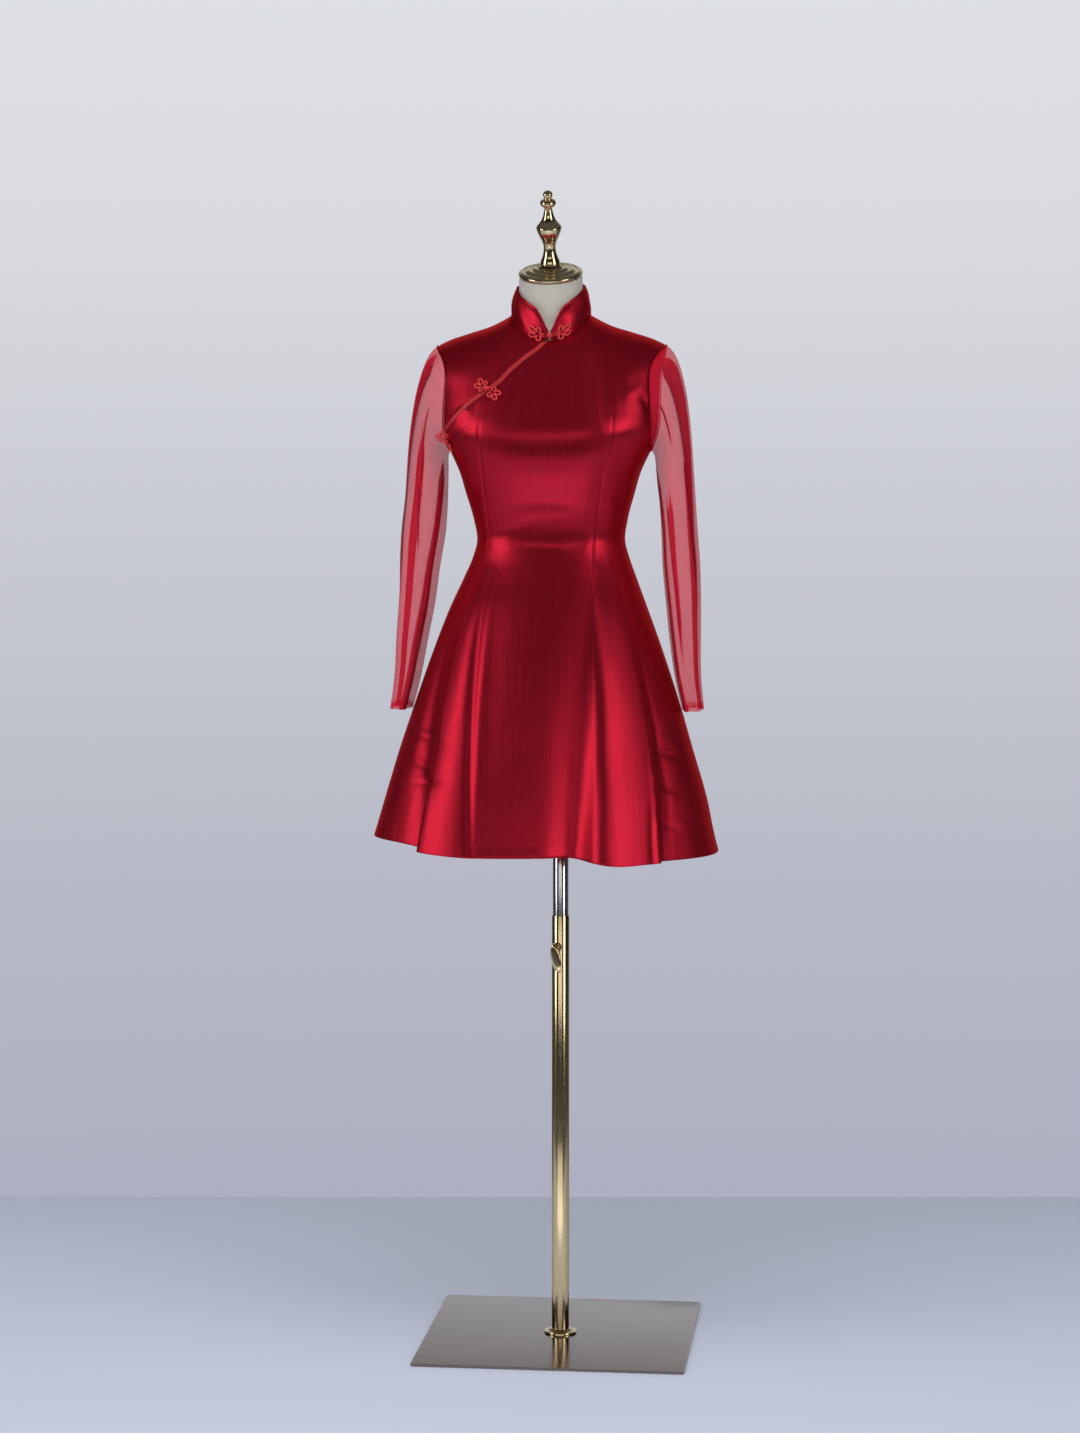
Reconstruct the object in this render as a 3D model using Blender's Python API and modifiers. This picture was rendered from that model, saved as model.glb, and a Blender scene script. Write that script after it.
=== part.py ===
"""A short satin cheongsam with sheer sleeves, worn by a limbless dress form on a telescopic stand.

Metres, +Z up. The origin is the centre of the base plate's underside, and the pole stands on it.
The front faces -Y. Left and right are the wearer's, so the right sleeve is on the -X side.
"""

import math
from collections import namedtuple

import bmesh
import bpy
import numpy as np
from mathutils import Matrix, Vector

# Where the form stands over the pole, and the plain sizes of the cloth
FORM_X = -0.013
FORM_Y = -0.020
SATIN_WALL = 0.0012
NET_WALL = 0.0010
COLLAR_WALL = 0.0018
SEAM_GAP = 0.0003
OPENING_GAP = 0.0006

# Heights that the bodice is cut to
HEM = 0.785
WAIST = 1.254
UNDERARM = 1.395
CHEST = 1.500
TOP = 1.580
TOP_EDGE = 1.5795

# Half sizes of the dress from the form's axis. Above the underarm they run on round the arm
Section = namedtuple("Section", "z right left front back front_square back_square")
BODY = [
    Section(0.765, 0.288, 0.264, 0.214, 0.224, 2.00, 2.00),
    Section(0.800, 0.277, 0.255, 0.206, 0.217, 2.00, 2.00),
    Section(0.857, 0.260, 0.243, 0.194, 0.205, 2.00, 2.00),
    Section(0.933, 0.237, 0.221, 0.177, 0.188, 2.00, 2.00),
    Section(1.009, 0.211, 0.199, 0.160, 0.170, 2.05, 2.00),
    Section(1.085, 0.184, 0.174, 0.141, 0.150, 2.10, 2.05),
    Section(1.160, 0.154, 0.147, 0.117, 0.124, 2.20, 2.10),
    Section(1.198, 0.136, 0.133, 0.102, 0.106, 2.25, 2.15),
    Section(1.235, 0.120, 0.120, 0.091, 0.086, 2.25, 2.20),
    Section(1.254, 0.115, 0.115, 0.088, 0.080, 2.25, 2.20),
    Section(1.291, 0.120, 0.119, 0.094, 0.084, 2.30, 2.20),
    Section(1.329, 0.131, 0.129, 0.107, 0.092, 2.40, 2.25),
    Section(1.366, 0.142, 0.140, 0.121, 0.100, 2.50, 2.30),
    Section(1.395, 0.155, 0.154, 0.129, 0.105, 2.50, 2.30),
    Section(1.425, 0.171, 0.171, 0.130, 0.109, 2.50, 2.35),
    Section(1.460, 0.181, 0.181, 0.119, 0.111, 2.45, 2.40),
    Section(1.500, 0.187, 0.187, 0.103, 0.108, 2.40, 2.40),
]

# The armhole's edge, as the angle round the body from the centre front or back
ArmholeEdge = namedtuple("ArmholeEdge", "z front back")
ARMHOLE = [
    ArmholeEdge(1.395, 90.0, 90.0),
    ArmholeEdge(1.401, 79.0, 81.0),
    ArmholeEdge(1.411, 71.5, 75.0),
    ArmholeEdge(1.425, 66.0, 70.0),
    ArmholeEdge(1.460, 58.0, 62.5),
    ArmholeEdge(1.500, 53.5, 59.0),
]

# The shoulder seam, from the neck to the sleeve
ShoulderPoint = namedtuple("ShoulderPoint", "x y z")
SHOULDER = [
    ShoulderPoint(0.0615, 0.000, 1.604),
    ShoulderPoint(0.072, 0.001, 1.598),
    ShoulderPoint(0.090, 0.002, 1.589),
    ShoulderPoint(0.127, 0.004, 1.577),
    ShoulderPoint(0.160, 0.005, 1.566),
    ShoulderPoint(0.177, 0.006, 1.558),
]

# The neckline is an oval that dips at the front
NECK_SIDE = 0.0615
NECK_FRONT = 0.064
NECK_BACK = 0.058
NECK_FRONT_Z = 1.5625
NECK_BACK_Z = 1.612
NECK_SHARE = 0.37

# The hem's height round the skirt, by share of the way from centre front (0) to side (1)
HemPoint = namedtuple("HemPoint", "share right left")
HEM_FRONT = [
    HemPoint(0.00, 0.785, 0.785),
    HemPoint(0.16, 0.784, 0.783),
    HemPoint(0.24, 0.784, 0.776),
    HemPoint(0.43, 0.788, 0.775),
    HemPoint(0.55, 0.793, 0.775),
    HemPoint(1.00, 0.798, 0.776),
]
HEM_BACK = [
    HemPoint(0.00, 0.780, 0.780),
    HemPoint(0.50, 0.784, 0.777),
    HemPoint(1.00, 0.798, 0.776),
]

# The skirt's lines of cloth, by share of the way from centre to side at the waist and at the hem
FlareLine = namedtuple("FlareLine", "waist hem")
FRONT_FLARE = [
    FlareLine(-1.00, -1.000),
    FlareLine(-0.68, -0.505),
    FlareLine(-0.60, -0.425),
    FlareLine(-0.53, -0.235),
    FlareLine(0.26, 0.130),
    FlareLine(0.42, 0.235),
    FlareLine(0.62, 0.455),
    FlareLine(0.72, 0.535),
    FlareLine(1.00, 1.000),
]
BACK_FLARE = [
    FlareLine(-1.00, -1.000),
    FlareLine(-0.72, -0.540),
    FlareLine(-0.52, -0.250),
    FlareLine(0.52, 0.250),
    FlareLine(0.72, 0.540),
    FlareLine(1.00, 1.000),
]

# Skirt folds: the line each one follows, how far it stands out at the hem, how wide, and its start
Fold = namedtuple("Fold", "line height toward_right toward_left starts")
FRONT_FOLDS = [
    Fold(0.42, 0.021, 0.065, 0.160, 1.215),
    Fold(0.27, -0.019, 0.200, 0.090, 1.180),
    Fold(-0.53, 0.008, 0.050, 0.200, 1.225),
    Fold(-0.60, 0.013, 0.035, 0.060, 1.205),
    Fold(-0.69, -0.016, 0.150, 0.055, 1.175),
    Fold(0.62, 0.007, 0.110, 0.045, 1.190),
    Fold(0.72, -0.012, 0.050, 0.120, 1.150),
]
BACK_FOLDS = [
    Fold(0.52, 0.015, 0.160, 0.120, 1.210),
    Fold(0.26, -0.012, 0.140, 0.120, 1.170),
    Fold(0.00, 0.010, 0.140, 0.140, 1.180),
    Fold(-0.26, -0.012, 0.120, 0.140, 1.170),
    Fold(-0.52, 0.015, 0.120, 0.160, 1.210),
    Fold(-0.68, -0.014, 0.120, 0.080, 1.180),
    Fold(0.68, -0.014, 0.080, 0.120, 1.180),
]
FOLD_GROWTH = 1.25
FLARE_POWER = 0.75

# The columns and rows that the panels are laid out on
FRONT_COLUMNS = [
    -1.00, -0.93, -0.86, -0.79, -0.73, -0.68, -0.64, -0.60, -0.565, -0.53, -0.46, -0.37, -0.28,
    -0.19, -0.12, -0.05, 0.00, 0.09, 0.18, 0.26, 0.33, 0.385, 0.42, 0.455, 0.51, 0.57, 0.62,
    0.67, 0.72, 0.79, 0.86, 0.93, 1.00,
]
BACK_COLUMNS = [
    -1.00, -0.90, -0.80, -0.72, -0.64, -0.58, -0.52, -0.45, -0.37, -0.26, -0.13, 0.00, 0.13,
    0.26, 0.37, 0.45, 0.52, 0.58, 0.64, 0.72, 0.80, 0.90, 1.00,
]
FRONT_LEVELS = [
    0.82, 0.87, 0.92, 0.97, 1.02, 1.07, 1.12, 1.16, 1.19, 1.22, 1.254, 1.285, 1.315, 1.345,
    1.37, 1.395, 1.42, 1.445, 1.47, 1.50, 1.52, 1.54, 1.56,
]
BACK_LEVELS = [
    0.83, 0.89, 0.95, 1.01, 1.07, 1.12, 1.17, 1.21, 1.254, 1.30, 1.345, 1.395, 1.42, 1.46,
    1.50, 1.53, 1.555,
]
LEAST_ROW = 0.004

# The opening, from the centre of the neckline to the right armhole
OpeningPoint = namedtuple("OpeningPoint", "share height")
OPENING = [
    OpeningPoint(-1.000, 1.420),
    OpeningPoint(-0.850, 1.436),
    OpeningPoint(-0.650, 1.458),
    OpeningPoint(-0.450, 1.482),
    OpeningPoint(-0.250, 1.516),
    OpeningPoint(-0.100, 1.552),
    OpeningPoint(0.000, 1.580),
]
UNDERLAP_END = -0.05

# The sleeves, from the armhole down: each row is a level ring of the hanging tube
SleeveRing = namedtuple("SleeveRing", "z right_x right_wide left_x left_wide y deep")
SLEEVE = [
    SleeveRing(1.372, 0.192, 0.0310, 0.191, 0.0285, 0.000, 0.0560),
    SleeveRing(1.329, 0.1945, 0.0320, 0.195, 0.0275, -0.001, 0.0550),
    SleeveRing(1.273, 0.200, 0.0330, 0.199, 0.0268, -0.002, 0.0530),
    SleeveRing(1.216, 0.206, 0.0298, 0.2025, 0.0278, -0.004, 0.0510),
    SleeveRing(1.160, 0.211, 0.0272, 0.206, 0.0258, -0.006, 0.0485),
    SleeveRing(1.104, 0.218, 0.0234, 0.209, 0.0228, -0.008, 0.0460),
    SleeveRing(1.047, 0.2245, 0.0190, 0.2135, 0.0190, -0.010, 0.0435),
    SleeveRing(0.997, 0.2335, 0.0155, 0.2215, 0.0155, -0.012, 0.0420),
]
SLEEVE_STEPS = 18
SLEEVE_LEVELS = 11
SLEEVE_TURNS = (0.10, 0.24, 0.40, 0.57, 0.75)
SLEEVE_WAVES = 5
SLEEVE_WAVE_HEIGHT = 0.0022
SLEEVE_GAP = 0.0009

# The stand collar, from the neckline up, and the share of its height left at the front
COLLAR_SIDE = 0.0535
COLLAR_FRONT = 0.061
COLLAR_BACK = 0.047
COLLAR_SIDE_Z = 1.648
COLLAR_FRONT_Z = 1.616
COLLAR_BACK_Z = 1.660
COLLAR_TURN = 4.0
COLLAR_LIFT = 0.0010
CollarCut = namedtuple("CollarCut", "angle share")
COLLAR_CUT = [
    CollarCut(1.5, 0.15),
    CollarCut(7.0, 0.28),
    CollarCut(16.0, 0.48),
    CollarCut(36.0, 0.74),
    CollarCut(60.0, 0.92),
    CollarCut(85.0, 1.00),
    CollarCut(180.0, 1.00),
]

# Bias binding on the opening and the cord of the frog fastenings
BINDING_WIDTH = 0.0075
BINDING_WALL = 0.0010
BINDING_LIFT = 0.0004
CORD = 0.0027
CORD_SIDES = 6
CORD_LIFT = 0.0004
PETAL_RING = 0.0072
PETAL_REACH = 0.0020
PETALS = 3
PETAL_STEPS = 20
STEM = 0.0135
STRANDS_APART = 0.0040
KNOT = 0.0046
COLLAR_KNOT_SEAT = 0.86

# The frogs: how far across the front each one sits, its slant, and its size beside the collar's
FrogPlace = namedtuple("FrogPlace", "share rise slant size")
CHEST_FROG = FrogPlace(-0.500, 0.000, -40.0, 0.86)
UNDERARM_SIZE = 0.74
UNDERARM_KNOT = (-0.925, 1.412)
UNDERARM_DOWN = (-0.800, 1.384)
UNDERARM_UP = (-0.60, -0.34, 0.72)
UNDERARM_FACE = (-0.35, -0.94, 0.0)

# The dress form inside, from its axis
FormRing = namedtuple("FormRing", "z wide front back square")
FORM_UPPER = [
    FormRing(1.515, 0.158, 0.092, 0.099, 2.35),
    FormRing(1.535, 0.145, 0.079, 0.087, 2.25),
    FormRing(1.552, 0.124, 0.068, 0.074, 2.15),
    FormRing(1.568, 0.092, 0.058, 0.062, 2.05),
    FormRing(1.582, 0.068, 0.053, 0.055, 2.00),
    FormRing(1.600, 0.0545, 0.052, 0.050, 2.00),
    FormRing(1.625, 0.0500, 0.053, 0.046, 2.00),
]
FORM_BOTTOM = 0.960
FORM_HIPS = [
    FormRing(0.960, 0.152, 0.098, 0.112, 2.2),
    FormRing(0.985, 0.158, 0.103, 0.120, 2.2),
    FormRing(1.030, 0.161, 0.108, 0.128, 2.2),
    FormRing(1.075, 0.155, 0.108, 0.125, 2.2),
    FormRing(1.120, 0.142, 0.104, 0.114, 2.2),
]
FORM_EASE = 0.0034
ARM_PLATE = 0.146

# The neck's top leans forward, and carries the cap and finial
NECK_TOP_Z = 1.664
NECK_TOP_Y = -0.008
NECK_TOP_RADIUS = 0.0485
NECK_LEAN = math.radians(20.0)
TurnedPoint = namedtuple("TurnedPoint", "radius height")
CAP = [
    TurnedPoint(0.0, 0.0165),
    TurnedPoint(0.0170, 0.0160),
    TurnedPoint(0.0185, 0.0135),
    TurnedPoint(0.0300, 0.0115),
    TurnedPoint(0.0400, 0.0085),
    TurnedPoint(0.0470, 0.0075),
    TurnedPoint(0.0497, 0.0050),
    TurnedPoint(0.0490, 0.0015),
    TurnedPoint(0.0470, 0.0),
    TurnedPoint(0.0, 0.0),
]
FINIAL = [
    TurnedPoint(0.0, 0.1170),
    TurnedPoint(0.0045, 0.1155),
    TurnedPoint(0.0075, 0.1105),
    TurnedPoint(0.0062, 0.1060),
    TurnedPoint(0.0055, 0.1045),
    TurnedPoint(0.0108, 0.1015),
    TurnedPoint(0.0124, 0.0975),
    TurnedPoint(0.0105, 0.0930),
    TurnedPoint(0.0062, 0.0895),
    TurnedPoint(0.0070, 0.0840),
    TurnedPoint(0.0110, 0.0715),
    TurnedPoint(0.0168, 0.0640),
    TurnedPoint(0.0196, 0.0600),
    TurnedPoint(0.0192, 0.0560),
    TurnedPoint(0.0160, 0.0470),
    TurnedPoint(0.0112, 0.0370),
    TurnedPoint(0.0093, 0.0290),
    TurnedPoint(0.0104, 0.0190),
    TurnedPoint(0.0118, 0.0135),
    TurnedPoint(0.0145, 0.0070),
    TurnedPoint(0.0155, 0.0030),
    TurnedPoint(0.0150, 0.0),
    TurnedPoint(0.0, 0.0),
]

# The stand
PLATE_SIDE = 0.420
PLATE_THICK = 0.004
PLATE_CORNER = 0.006
LOWER_TUBE_RADIUS = 0.0140
LOWER_TUBE_WALL = 0.0011
LOWER_TUBE_TOP = 0.6695
MAST_RADIUS = 0.0125
MAST_WALL = 0.0012
MAST_BOTTOM = 0.330
SOCKET_RADIUS = 0.028
SOCKET_DEPTH = 0.030
SOCKET_PLATE_RADIUS = 0.050
SOCKET_PLATE = 0.004
FLANGE_RADIUS = 0.026
CLAMP_Z = 0.6205
CLAMP_TURN = math.radians(-14.0)
BOSS_RADIUS = 0.0075
BOSS_LENGTH = 0.0070
SCREW_RADIUS = 0.0035
SCREW_LENGTH = 0.010
HANDLE_LENGTH = 0.045
HANDLE_WIDTH = 0.017
HANDLE_THICK = 0.0045
HANDLE_LEAN = math.radians(12.0)
TURN_STEPS = 28

# Colours as the photograph shows them, linear
Finish = namedtuple("Finish", "colour roughness metallic")
SATIN = Finish((0.42, 0.008, 0.018), 0.35, 0.0)
NET = Finish((0.50, 0.020, 0.040), 0.60, 0.0)
CORD_SATIN = Finish((0.50, 0.020, 0.025), 0.45, 0.0)
FORM_JERSEY = Finish((0.58, 0.55, 0.49), 0.90, 0.0)
GOLD = Finish((0.80, 0.60, 0.28), 0.12, 1.0)
STEEL = Finish((0.55, 0.55, 0.56), 0.12, 1.0)
PLATE_STEEL = Finish((0.42, 0.38, 0.35), 0.22, 1.0)


def column(table, key, value, name):
    """The named column of a table where its key column has this value, on one smooth curve."""
    keys = np.array([getattr(row, key) for row in table])
    values = np.array([getattr(row, name) for row in table])
    slopes = np.gradient(values, keys)
    i = int(np.clip(np.searchsorted(keys, value) - 1, 0, len(keys) - 2))
    step = keys[i + 1] - keys[i]
    t = min(max((value - keys[i]) / step, 0.0), 1.0)
    ease = t * t * (3 - 2 * t)
    bend_in = t * (1 - t) ** 2 * step * slopes[i]
    bend_out = t * t * (1 - t) * step * slopes[i + 1]
    return values[i] * (1 - ease) + values[i + 1] * ease + bend_in - bend_out


def body(z, name):
    return column(BODY, "z", z, name)


def armhole_angle(z, side):
    """How far round the body a panel reaches at this height, in degrees."""
    return 90.0 if z <= UNDERARM else column(ARMHOLE, "z", z, "front" if side < 0 else "back")


def flared(line, z, side):
    """Where a line of cloth has got to across the body at this height, as a share."""
    if z >= WAIST:
        return line
    table = FRONT_FLARE if side < 0 else BACK_FLARE
    hem = float(np.interp(line, [row.waist for row in table], [row.hem for row in table]))
    return line + (hem - line) * ((WAIST - z) / (WAIST - HEM)) ** FLARE_POWER


def fold_lift(line, z, side):
    """How far the skirt's folds move the cloth out on this line."""
    lift = 0.0
    for fold in FRONT_FOLDS if side < 0 else BACK_FOLDS:
        if z >= fold.starts:
            continue
        down = ((fold.starts - z) / (fold.starts - HEM)) ** FOLD_GROWTH
        width = fold.toward_left if line > fold.line else fold.toward_right
        lift += fold.height * down * math.exp(-(((line - fold.line) / width) ** 2))
    return lift * (1 - abs(line) ** 12)


def ring_point(line, z, side):
    """A point of the dress up to the chest. line runs -1 to 1 across, and side is -1 front, 1 back."""
    share = flared(line, z, side)
    angle = math.radians(abs(share) * armhole_angle(z, side))
    wide = body(z, "right" if share < 0 else "left")
    deep = body(z, "front" if side < 0 else "back")
    power = 2 / body(z, "front_square" if side < 0 else "back_square")
    x = math.copysign(wide * math.sin(angle) ** power, share)
    y = side * deep * max(math.cos(angle), 0.0) ** power
    lift = 1 + fold_lift(line, z, side) / math.hypot(x, y)
    return Vector((x * lift, y * lift, z))


def neck_point(angle):
    """The neckline at this many degrees round from centre front, positive to the wearer's left."""
    a = math.radians(angle)
    front = math.cos(a) > 0
    y = -math.cos(a) * (NECK_FRONT if front else NECK_BACK)
    rise = (NECK_FRONT_Z if front else NECK_BACK_Z) - SHOULDER[0].z
    return Vector((NECK_SIDE * math.sin(a), y, SHOULDER[0].z + rise * abs(math.cos(a)) ** 1.6))


def top_point(share, side):
    """Where a column ends: on the neckline near the middle, and on the shoulder seam beyond it."""
    reach = abs(share)
    if reach <= NECK_SHARE:
        turn = 90.0 * share / NECK_SHARE
        return neck_point(turn if side < 0 else 180.0 - turn)
    along = (reach - NECK_SHARE) / (1 - NECK_SHARE)
    x = SHOULDER[0].x + (SHOULDER[-1].x - SHOULDER[0].x) * along
    y = column(SHOULDER, "x", x, "y")
    return Vector((math.copysign(x, share), y, column(SHOULDER, "x", x, "z")))


def top_direction(share, side):
    """The way the cloth runs as it arrives at its top edge."""
    middle = 1 - min(1.0, abs(share) / NECK_SHARE)
    steep = 0.80 if side < 0 else 0.85
    rise = 0.22 + (steep - 0.22) * middle**0.8
    return Vector((0.0, -side, rise)).normalized()


def shell_point(share, height, side):
    """A point of the dress. height is Z up to the chest, and from there it runs on to the top edge."""
    if height <= CHEST:
        return ring_point(share, height, side)
    start = ring_point(share, CHEST, side)
    below = ring_point(share, CHEST - 0.006, side)
    end = top_point(share, side)
    reach = (end - start).length * 0.40
    first = start + (start - below).normalized() * reach
    last = end - top_direction(share, side) * reach
    t = (height - CHEST) / (TOP - CHEST)
    weights = ((1 - t) ** 3, 3 * t * (1 - t) ** 2, 3 * t * t * (1 - t), t**3)
    return start * weights[0] + first * weights[1] + last * weights[2] + end * weights[3]


def shell_frame(share, height, side):
    """The point, and its unit steps across, up and out of the cloth."""
    d = 0.002
    up_at = min(height, TOP - d)
    here = shell_point(share, height, side)
    across = shell_point(share + d, height, side) - shell_point(share - d, height, side)
    up = shell_point(share, up_at + d, side) - shell_point(share, up_at - d, side)
    out = across.cross(up) * (-side)
    return here, across / (2 * d), up / (2 * d), out.normalized()


def half_girth(height, side):
    """Rough length of cloth from the centre to the side, which turns a gap into a share."""
    return 1.25 * max(body(min(height, CHEST), "left"), 0.10)


def hem_height(line, side):
    """The hem's height where this line of cloth ends."""
    table = HEM_FRONT if side < 0 else HEM_BACK
    share = flared(line, HEM, side)
    return column(table, "share", abs(share), "right" if share < 0 else "left")


def opening_height(share):
    return column(OPENING, "share", share, "height")


def opening_clear(share):
    """Half the gap at the opening, as a step of height that keeps it even on the slant."""
    height = opening_height(share)
    here, across, up, out = shell_frame(share, height, -1)
    low, high = max(share - 0.002, -1.0), min(share + 0.002, 0.0)
    slope = (opening_height(high) - opening_height(low)) / (high - low)
    along = across + up * slope
    return OPENING_GAP / 2 * along.length / up.cross(across).length


def spread(start, end, count):
    return [start + (end - start) * i / (count - 1) for i in range(count)]


def new_object(name, mesh, finish):
    obj = bpy.data.objects.new(name, mesh)
    parts_collection().objects.link(obj)
    material = bpy.data.materials.get(finish_name(finish)) or new_material(finish)
    mesh.materials.append(material)
    return obj


def parts_collection():
    collection = bpy.data.collections.get("cheongsam_on_form")
    if collection is None:
        collection = bpy.data.collections.new("cheongsam_on_form")
        bpy.context.scene.collection.children.link(collection)
    return collection


def finish_name(finish):
    return {
        id(SATIN): "red_satin",
        id(NET): "red_net",
        id(CORD_SATIN): "satin_cord",
        id(FORM_JERSEY): "form_jersey",
        id(GOLD): "gold_plate",
        id(STEEL): "polished_steel",
        id(PLATE_STEEL): "plate_steel",
    }[id(finish)]


def new_material(finish):
    material = bpy.data.materials.new(finish_name(finish))
    material.use_nodes = True
    shader = material.node_tree.nodes["Principled BSDF"]
    shader.inputs["Base Color"].default_value = (*finish.colour, 1.0)
    shader.inputs["Roughness"].default_value = finish.roughness
    shader.inputs["Metallic"].default_value = finish.metallic
    return material


def grid_mesh(name, rows, closed=False):
    """A net of quads through rows of points. A closed net joins the last column to the first."""
    mesh = bpy.data.meshes.new(name)
    shell = bmesh.new()
    verts = [[shell.verts.new(p) for p in row] for row in rows]
    width = len(rows[0])
    for low, high in zip(verts, verts[1:]):
        for i in range(width if closed else width - 1):
            j = (i + 1) % width
            shell.faces.new((low[i], low[j], high[j], high[i]))
    shell.to_mesh(mesh)
    shell.free()
    return mesh


def cloth(name, rows, finish, wall, closed=False, outward=False):
    """A cloth piece: a net of points with its wall grown to the inside, or outward."""
    axis = Vector((FORM_X, FORM_Y, 0.0))
    mesh = grid_mesh(name, [[p + axis for p in row] for row in rows], closed)
    return walled(new_object(name, mesh, finish), wall, outward)


def walled(obj, wall, outward=False):
    """Gives a cloth net its wall."""
    grown = obj.modifiers.new("wall", "SOLIDIFY")
    grown.thickness = wall
    grown.offset = 1.0 if outward else -1.0
    grown.use_even_offset = False
    obj.data.shade_smooth()
    return obj


def heights(levels, bottom, top):
    """A column's heights: its ends, and the shared levels between them."""
    inner = [z for z in levels if bottom + LEAST_ROW < z < top - LEAST_ROW]
    return [bottom] + inner + [top]


def panel(name, lines, ends, levels, side):
    """A panel of the dress on its lines of cloth. ends gives each line's bottom and top height."""
    axis = Vector((FORM_X, FORM_Y, 0.0))
    shell = bmesh.new()
    columns = []
    for line in lines:
        steps = heights(levels, *ends(line))
        clear = 1.0 - SEAM_GAP / 2 / half_girth(steps[0], side)
        verts = [shell.verts.new(shell_point(line * clear, h, side) + axis) for h in steps]
        columns.append(list(zip(steps, verts)))
    for left, right in zip(columns, columns[1:]):
        zip_columns(shell, left, right)
    bmesh.ops.recalc_face_normals(shell, faces=shell.faces)
    middle = min(shell.faces, key=lambda f: abs(f.calc_center_median().z - WAIST))
    facing = middle.normal.y * side
    if facing < 0:
        bmesh.ops.reverse_faces(shell, faces=shell.faces)
    mesh = bpy.data.meshes.new(name)
    shell.to_mesh(mesh)
    shell.free()
    return walled(new_object(name, mesh, SATIN), SATIN_WALL)


def zip_columns(shell, left, right):
    """Faces between two columns of (height, vertex): quads where levels match, triangles elsewhere."""
    i = j = 0
    while i < len(left) - 1 or j < len(right) - 1:
        next_left = left[i + 1][0] if i < len(left) - 1 else math.inf
        next_right = right[j + 1][0] if j < len(right) - 1 else math.inf
        both_end = i == len(left) - 2 and j == len(right) - 2
        if both_end or next_left == next_right:
            shell.faces.new((left[i][1], right[j][1], right[j + 1][1], left[i + 1][1]))
            i, j = i + 1, j + 1
        elif next_left < next_right:
            shell.faces.new((left[i][1], right[j][1], left[i + 1][1]))
            i += 1
        else:
            shell.faces.new((left[i][1], right[j][1], right[j + 1][1]))
            j += 1


def front_panel():
    """The front in one piece, with its overlap cut to the slanting opening on the right."""

    def ends(line):
        top = TOP_EDGE
        if line < -1e-6:
            top = opening_height(line) - opening_clear(line)
        return hem_height(line, -1), top

    return panel("front_panel", FRONT_COLUMNS, ends, FRONT_LEVELS, -1)


def underlap():
    """The small front under the overlap, from the opening up to the right shoulder and neck."""

    def ends(line):
        return opening_height(line) + opening_clear(line), TOP_EDGE

    lines = [line for line in FRONT_COLUMNS if line <= UNDERLAP_END]
    return panel("front_underlap", lines, ends, FRONT_LEVELS, -1)


def back_panel():
    """The back in one piece, from side seam to side seam."""

    def ends(line):
        return hem_height(line, 1), TOP_EDGE

    return panel("back_panel", BACK_COLUMNS, ends, BACK_LEVELS, 1)


def armhole_loop(sign, count):
    """The armhole from the underarm, up the front, over the shoulder and down the back."""
    half = count // 2
    front = [shell_point(sign, h, -1) for h in spread(UNDERARM, TOP, half + 1)]
    back = [shell_point(sign, h, 1) for h in spread(TOP, UNDERARM, half + 1)]
    return front + back[1:-1]


def sleeve(name, sign):
    """A sheer tube that grows from the armhole, turns down and hangs to the cuff."""
    count = SLEEVE_STEPS
    x_name, wide_name = ("right_x", "right_wide") if sign < 0 else ("left_x", "left_wide")
    out = Vector((sign * SLEEVE_GAP, 0.0, 0.0))
    start = [p + out for p in armhole_loop(sign, count)]

    def ring(z):
        x = column(SLEEVE[::-1], "z", z, x_name)
        wide = column(SLEEVE[::-1], "z", z, wide_name)
        deep = column(SLEEVE[::-1], "z", z, "deep")
        y = column(SLEEVE[::-1], "z", z, "y")
        fade = min(1.0, (SLEEVE[0].z - z) / 0.10)
        points = []
        for i in range(count):
            a = 2 * math.pi * i / count
            wave = 1 + fade * SLEEVE_WAVE_HEIGHT / wide * math.cos(SLEEVE_WAVES * a + 1.0)
            px = -sign * wide * wave * math.cos(a)
            py = -deep * wave * math.sin(a)
            points.append(Vector((sign * x + px, y + py, z)))
        return points

    first = ring(SLEEVE[0].z)
    second = ring(SLEEVE[0].z - 0.02)
    rows = [start]
    for t in SLEEVE_TURNS:
        row = []
        for i, (p, q, r) in enumerate(zip(start, first, second)):
            over = 0.5 - 0.5 * math.cos(2 * math.pi * i / count)
            reach = (q - p).length
            leave = Vector((sign, 0.0, -0.15 - 0.65 * over**4)).normalized() * reach * 0.20
            arrive = (r - q).normalized() * reach * 0.40
            a, b = p + leave, q - arrive
            weights = ((1 - t) ** 3, 3 * t * (1 - t) ** 2, 3 * t * t * (1 - t), t**3)
            row.append(p * weights[0] + a * weights[1] + b * weights[2] + q * weights[3])
        rows.append(row)
    rows += [ring(z) for z in spread(SLEEVE[0].z, SLEEVE[-1].z, SLEEVE_LEVELS)]
    if sign > 0:
        rows = [row[::-1] for row in rows]
    return cloth(name, rows, NET, NET_WALL, closed=True)


def collar_point(angle, share):
    """A point of the collar: angle round from centre front, share of its full height."""
    low = neck_point(angle)
    a = math.radians(angle)
    front = math.cos(a) > 0
    y = -math.cos(a) * (COLLAR_FRONT if front else COLLAR_BACK)
    rise = (COLLAR_FRONT_Z if front else COLLAR_BACK_Z) - COLLAR_SIDE_Z
    high = Vector((COLLAR_SIDE * math.sin(a), y, COLLAR_SIDE_Z + rise * abs(math.cos(a)) ** 1.4))
    swell = Vector((math.sin(a), -math.cos(a), 0.0)) * 0.0025 * math.sin(math.pi * share)
    lift = Vector((0.0, 0.0, COLLAR_LIFT * (1 - share)))
    return low.lerp(high, share) + swell + lift


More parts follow.
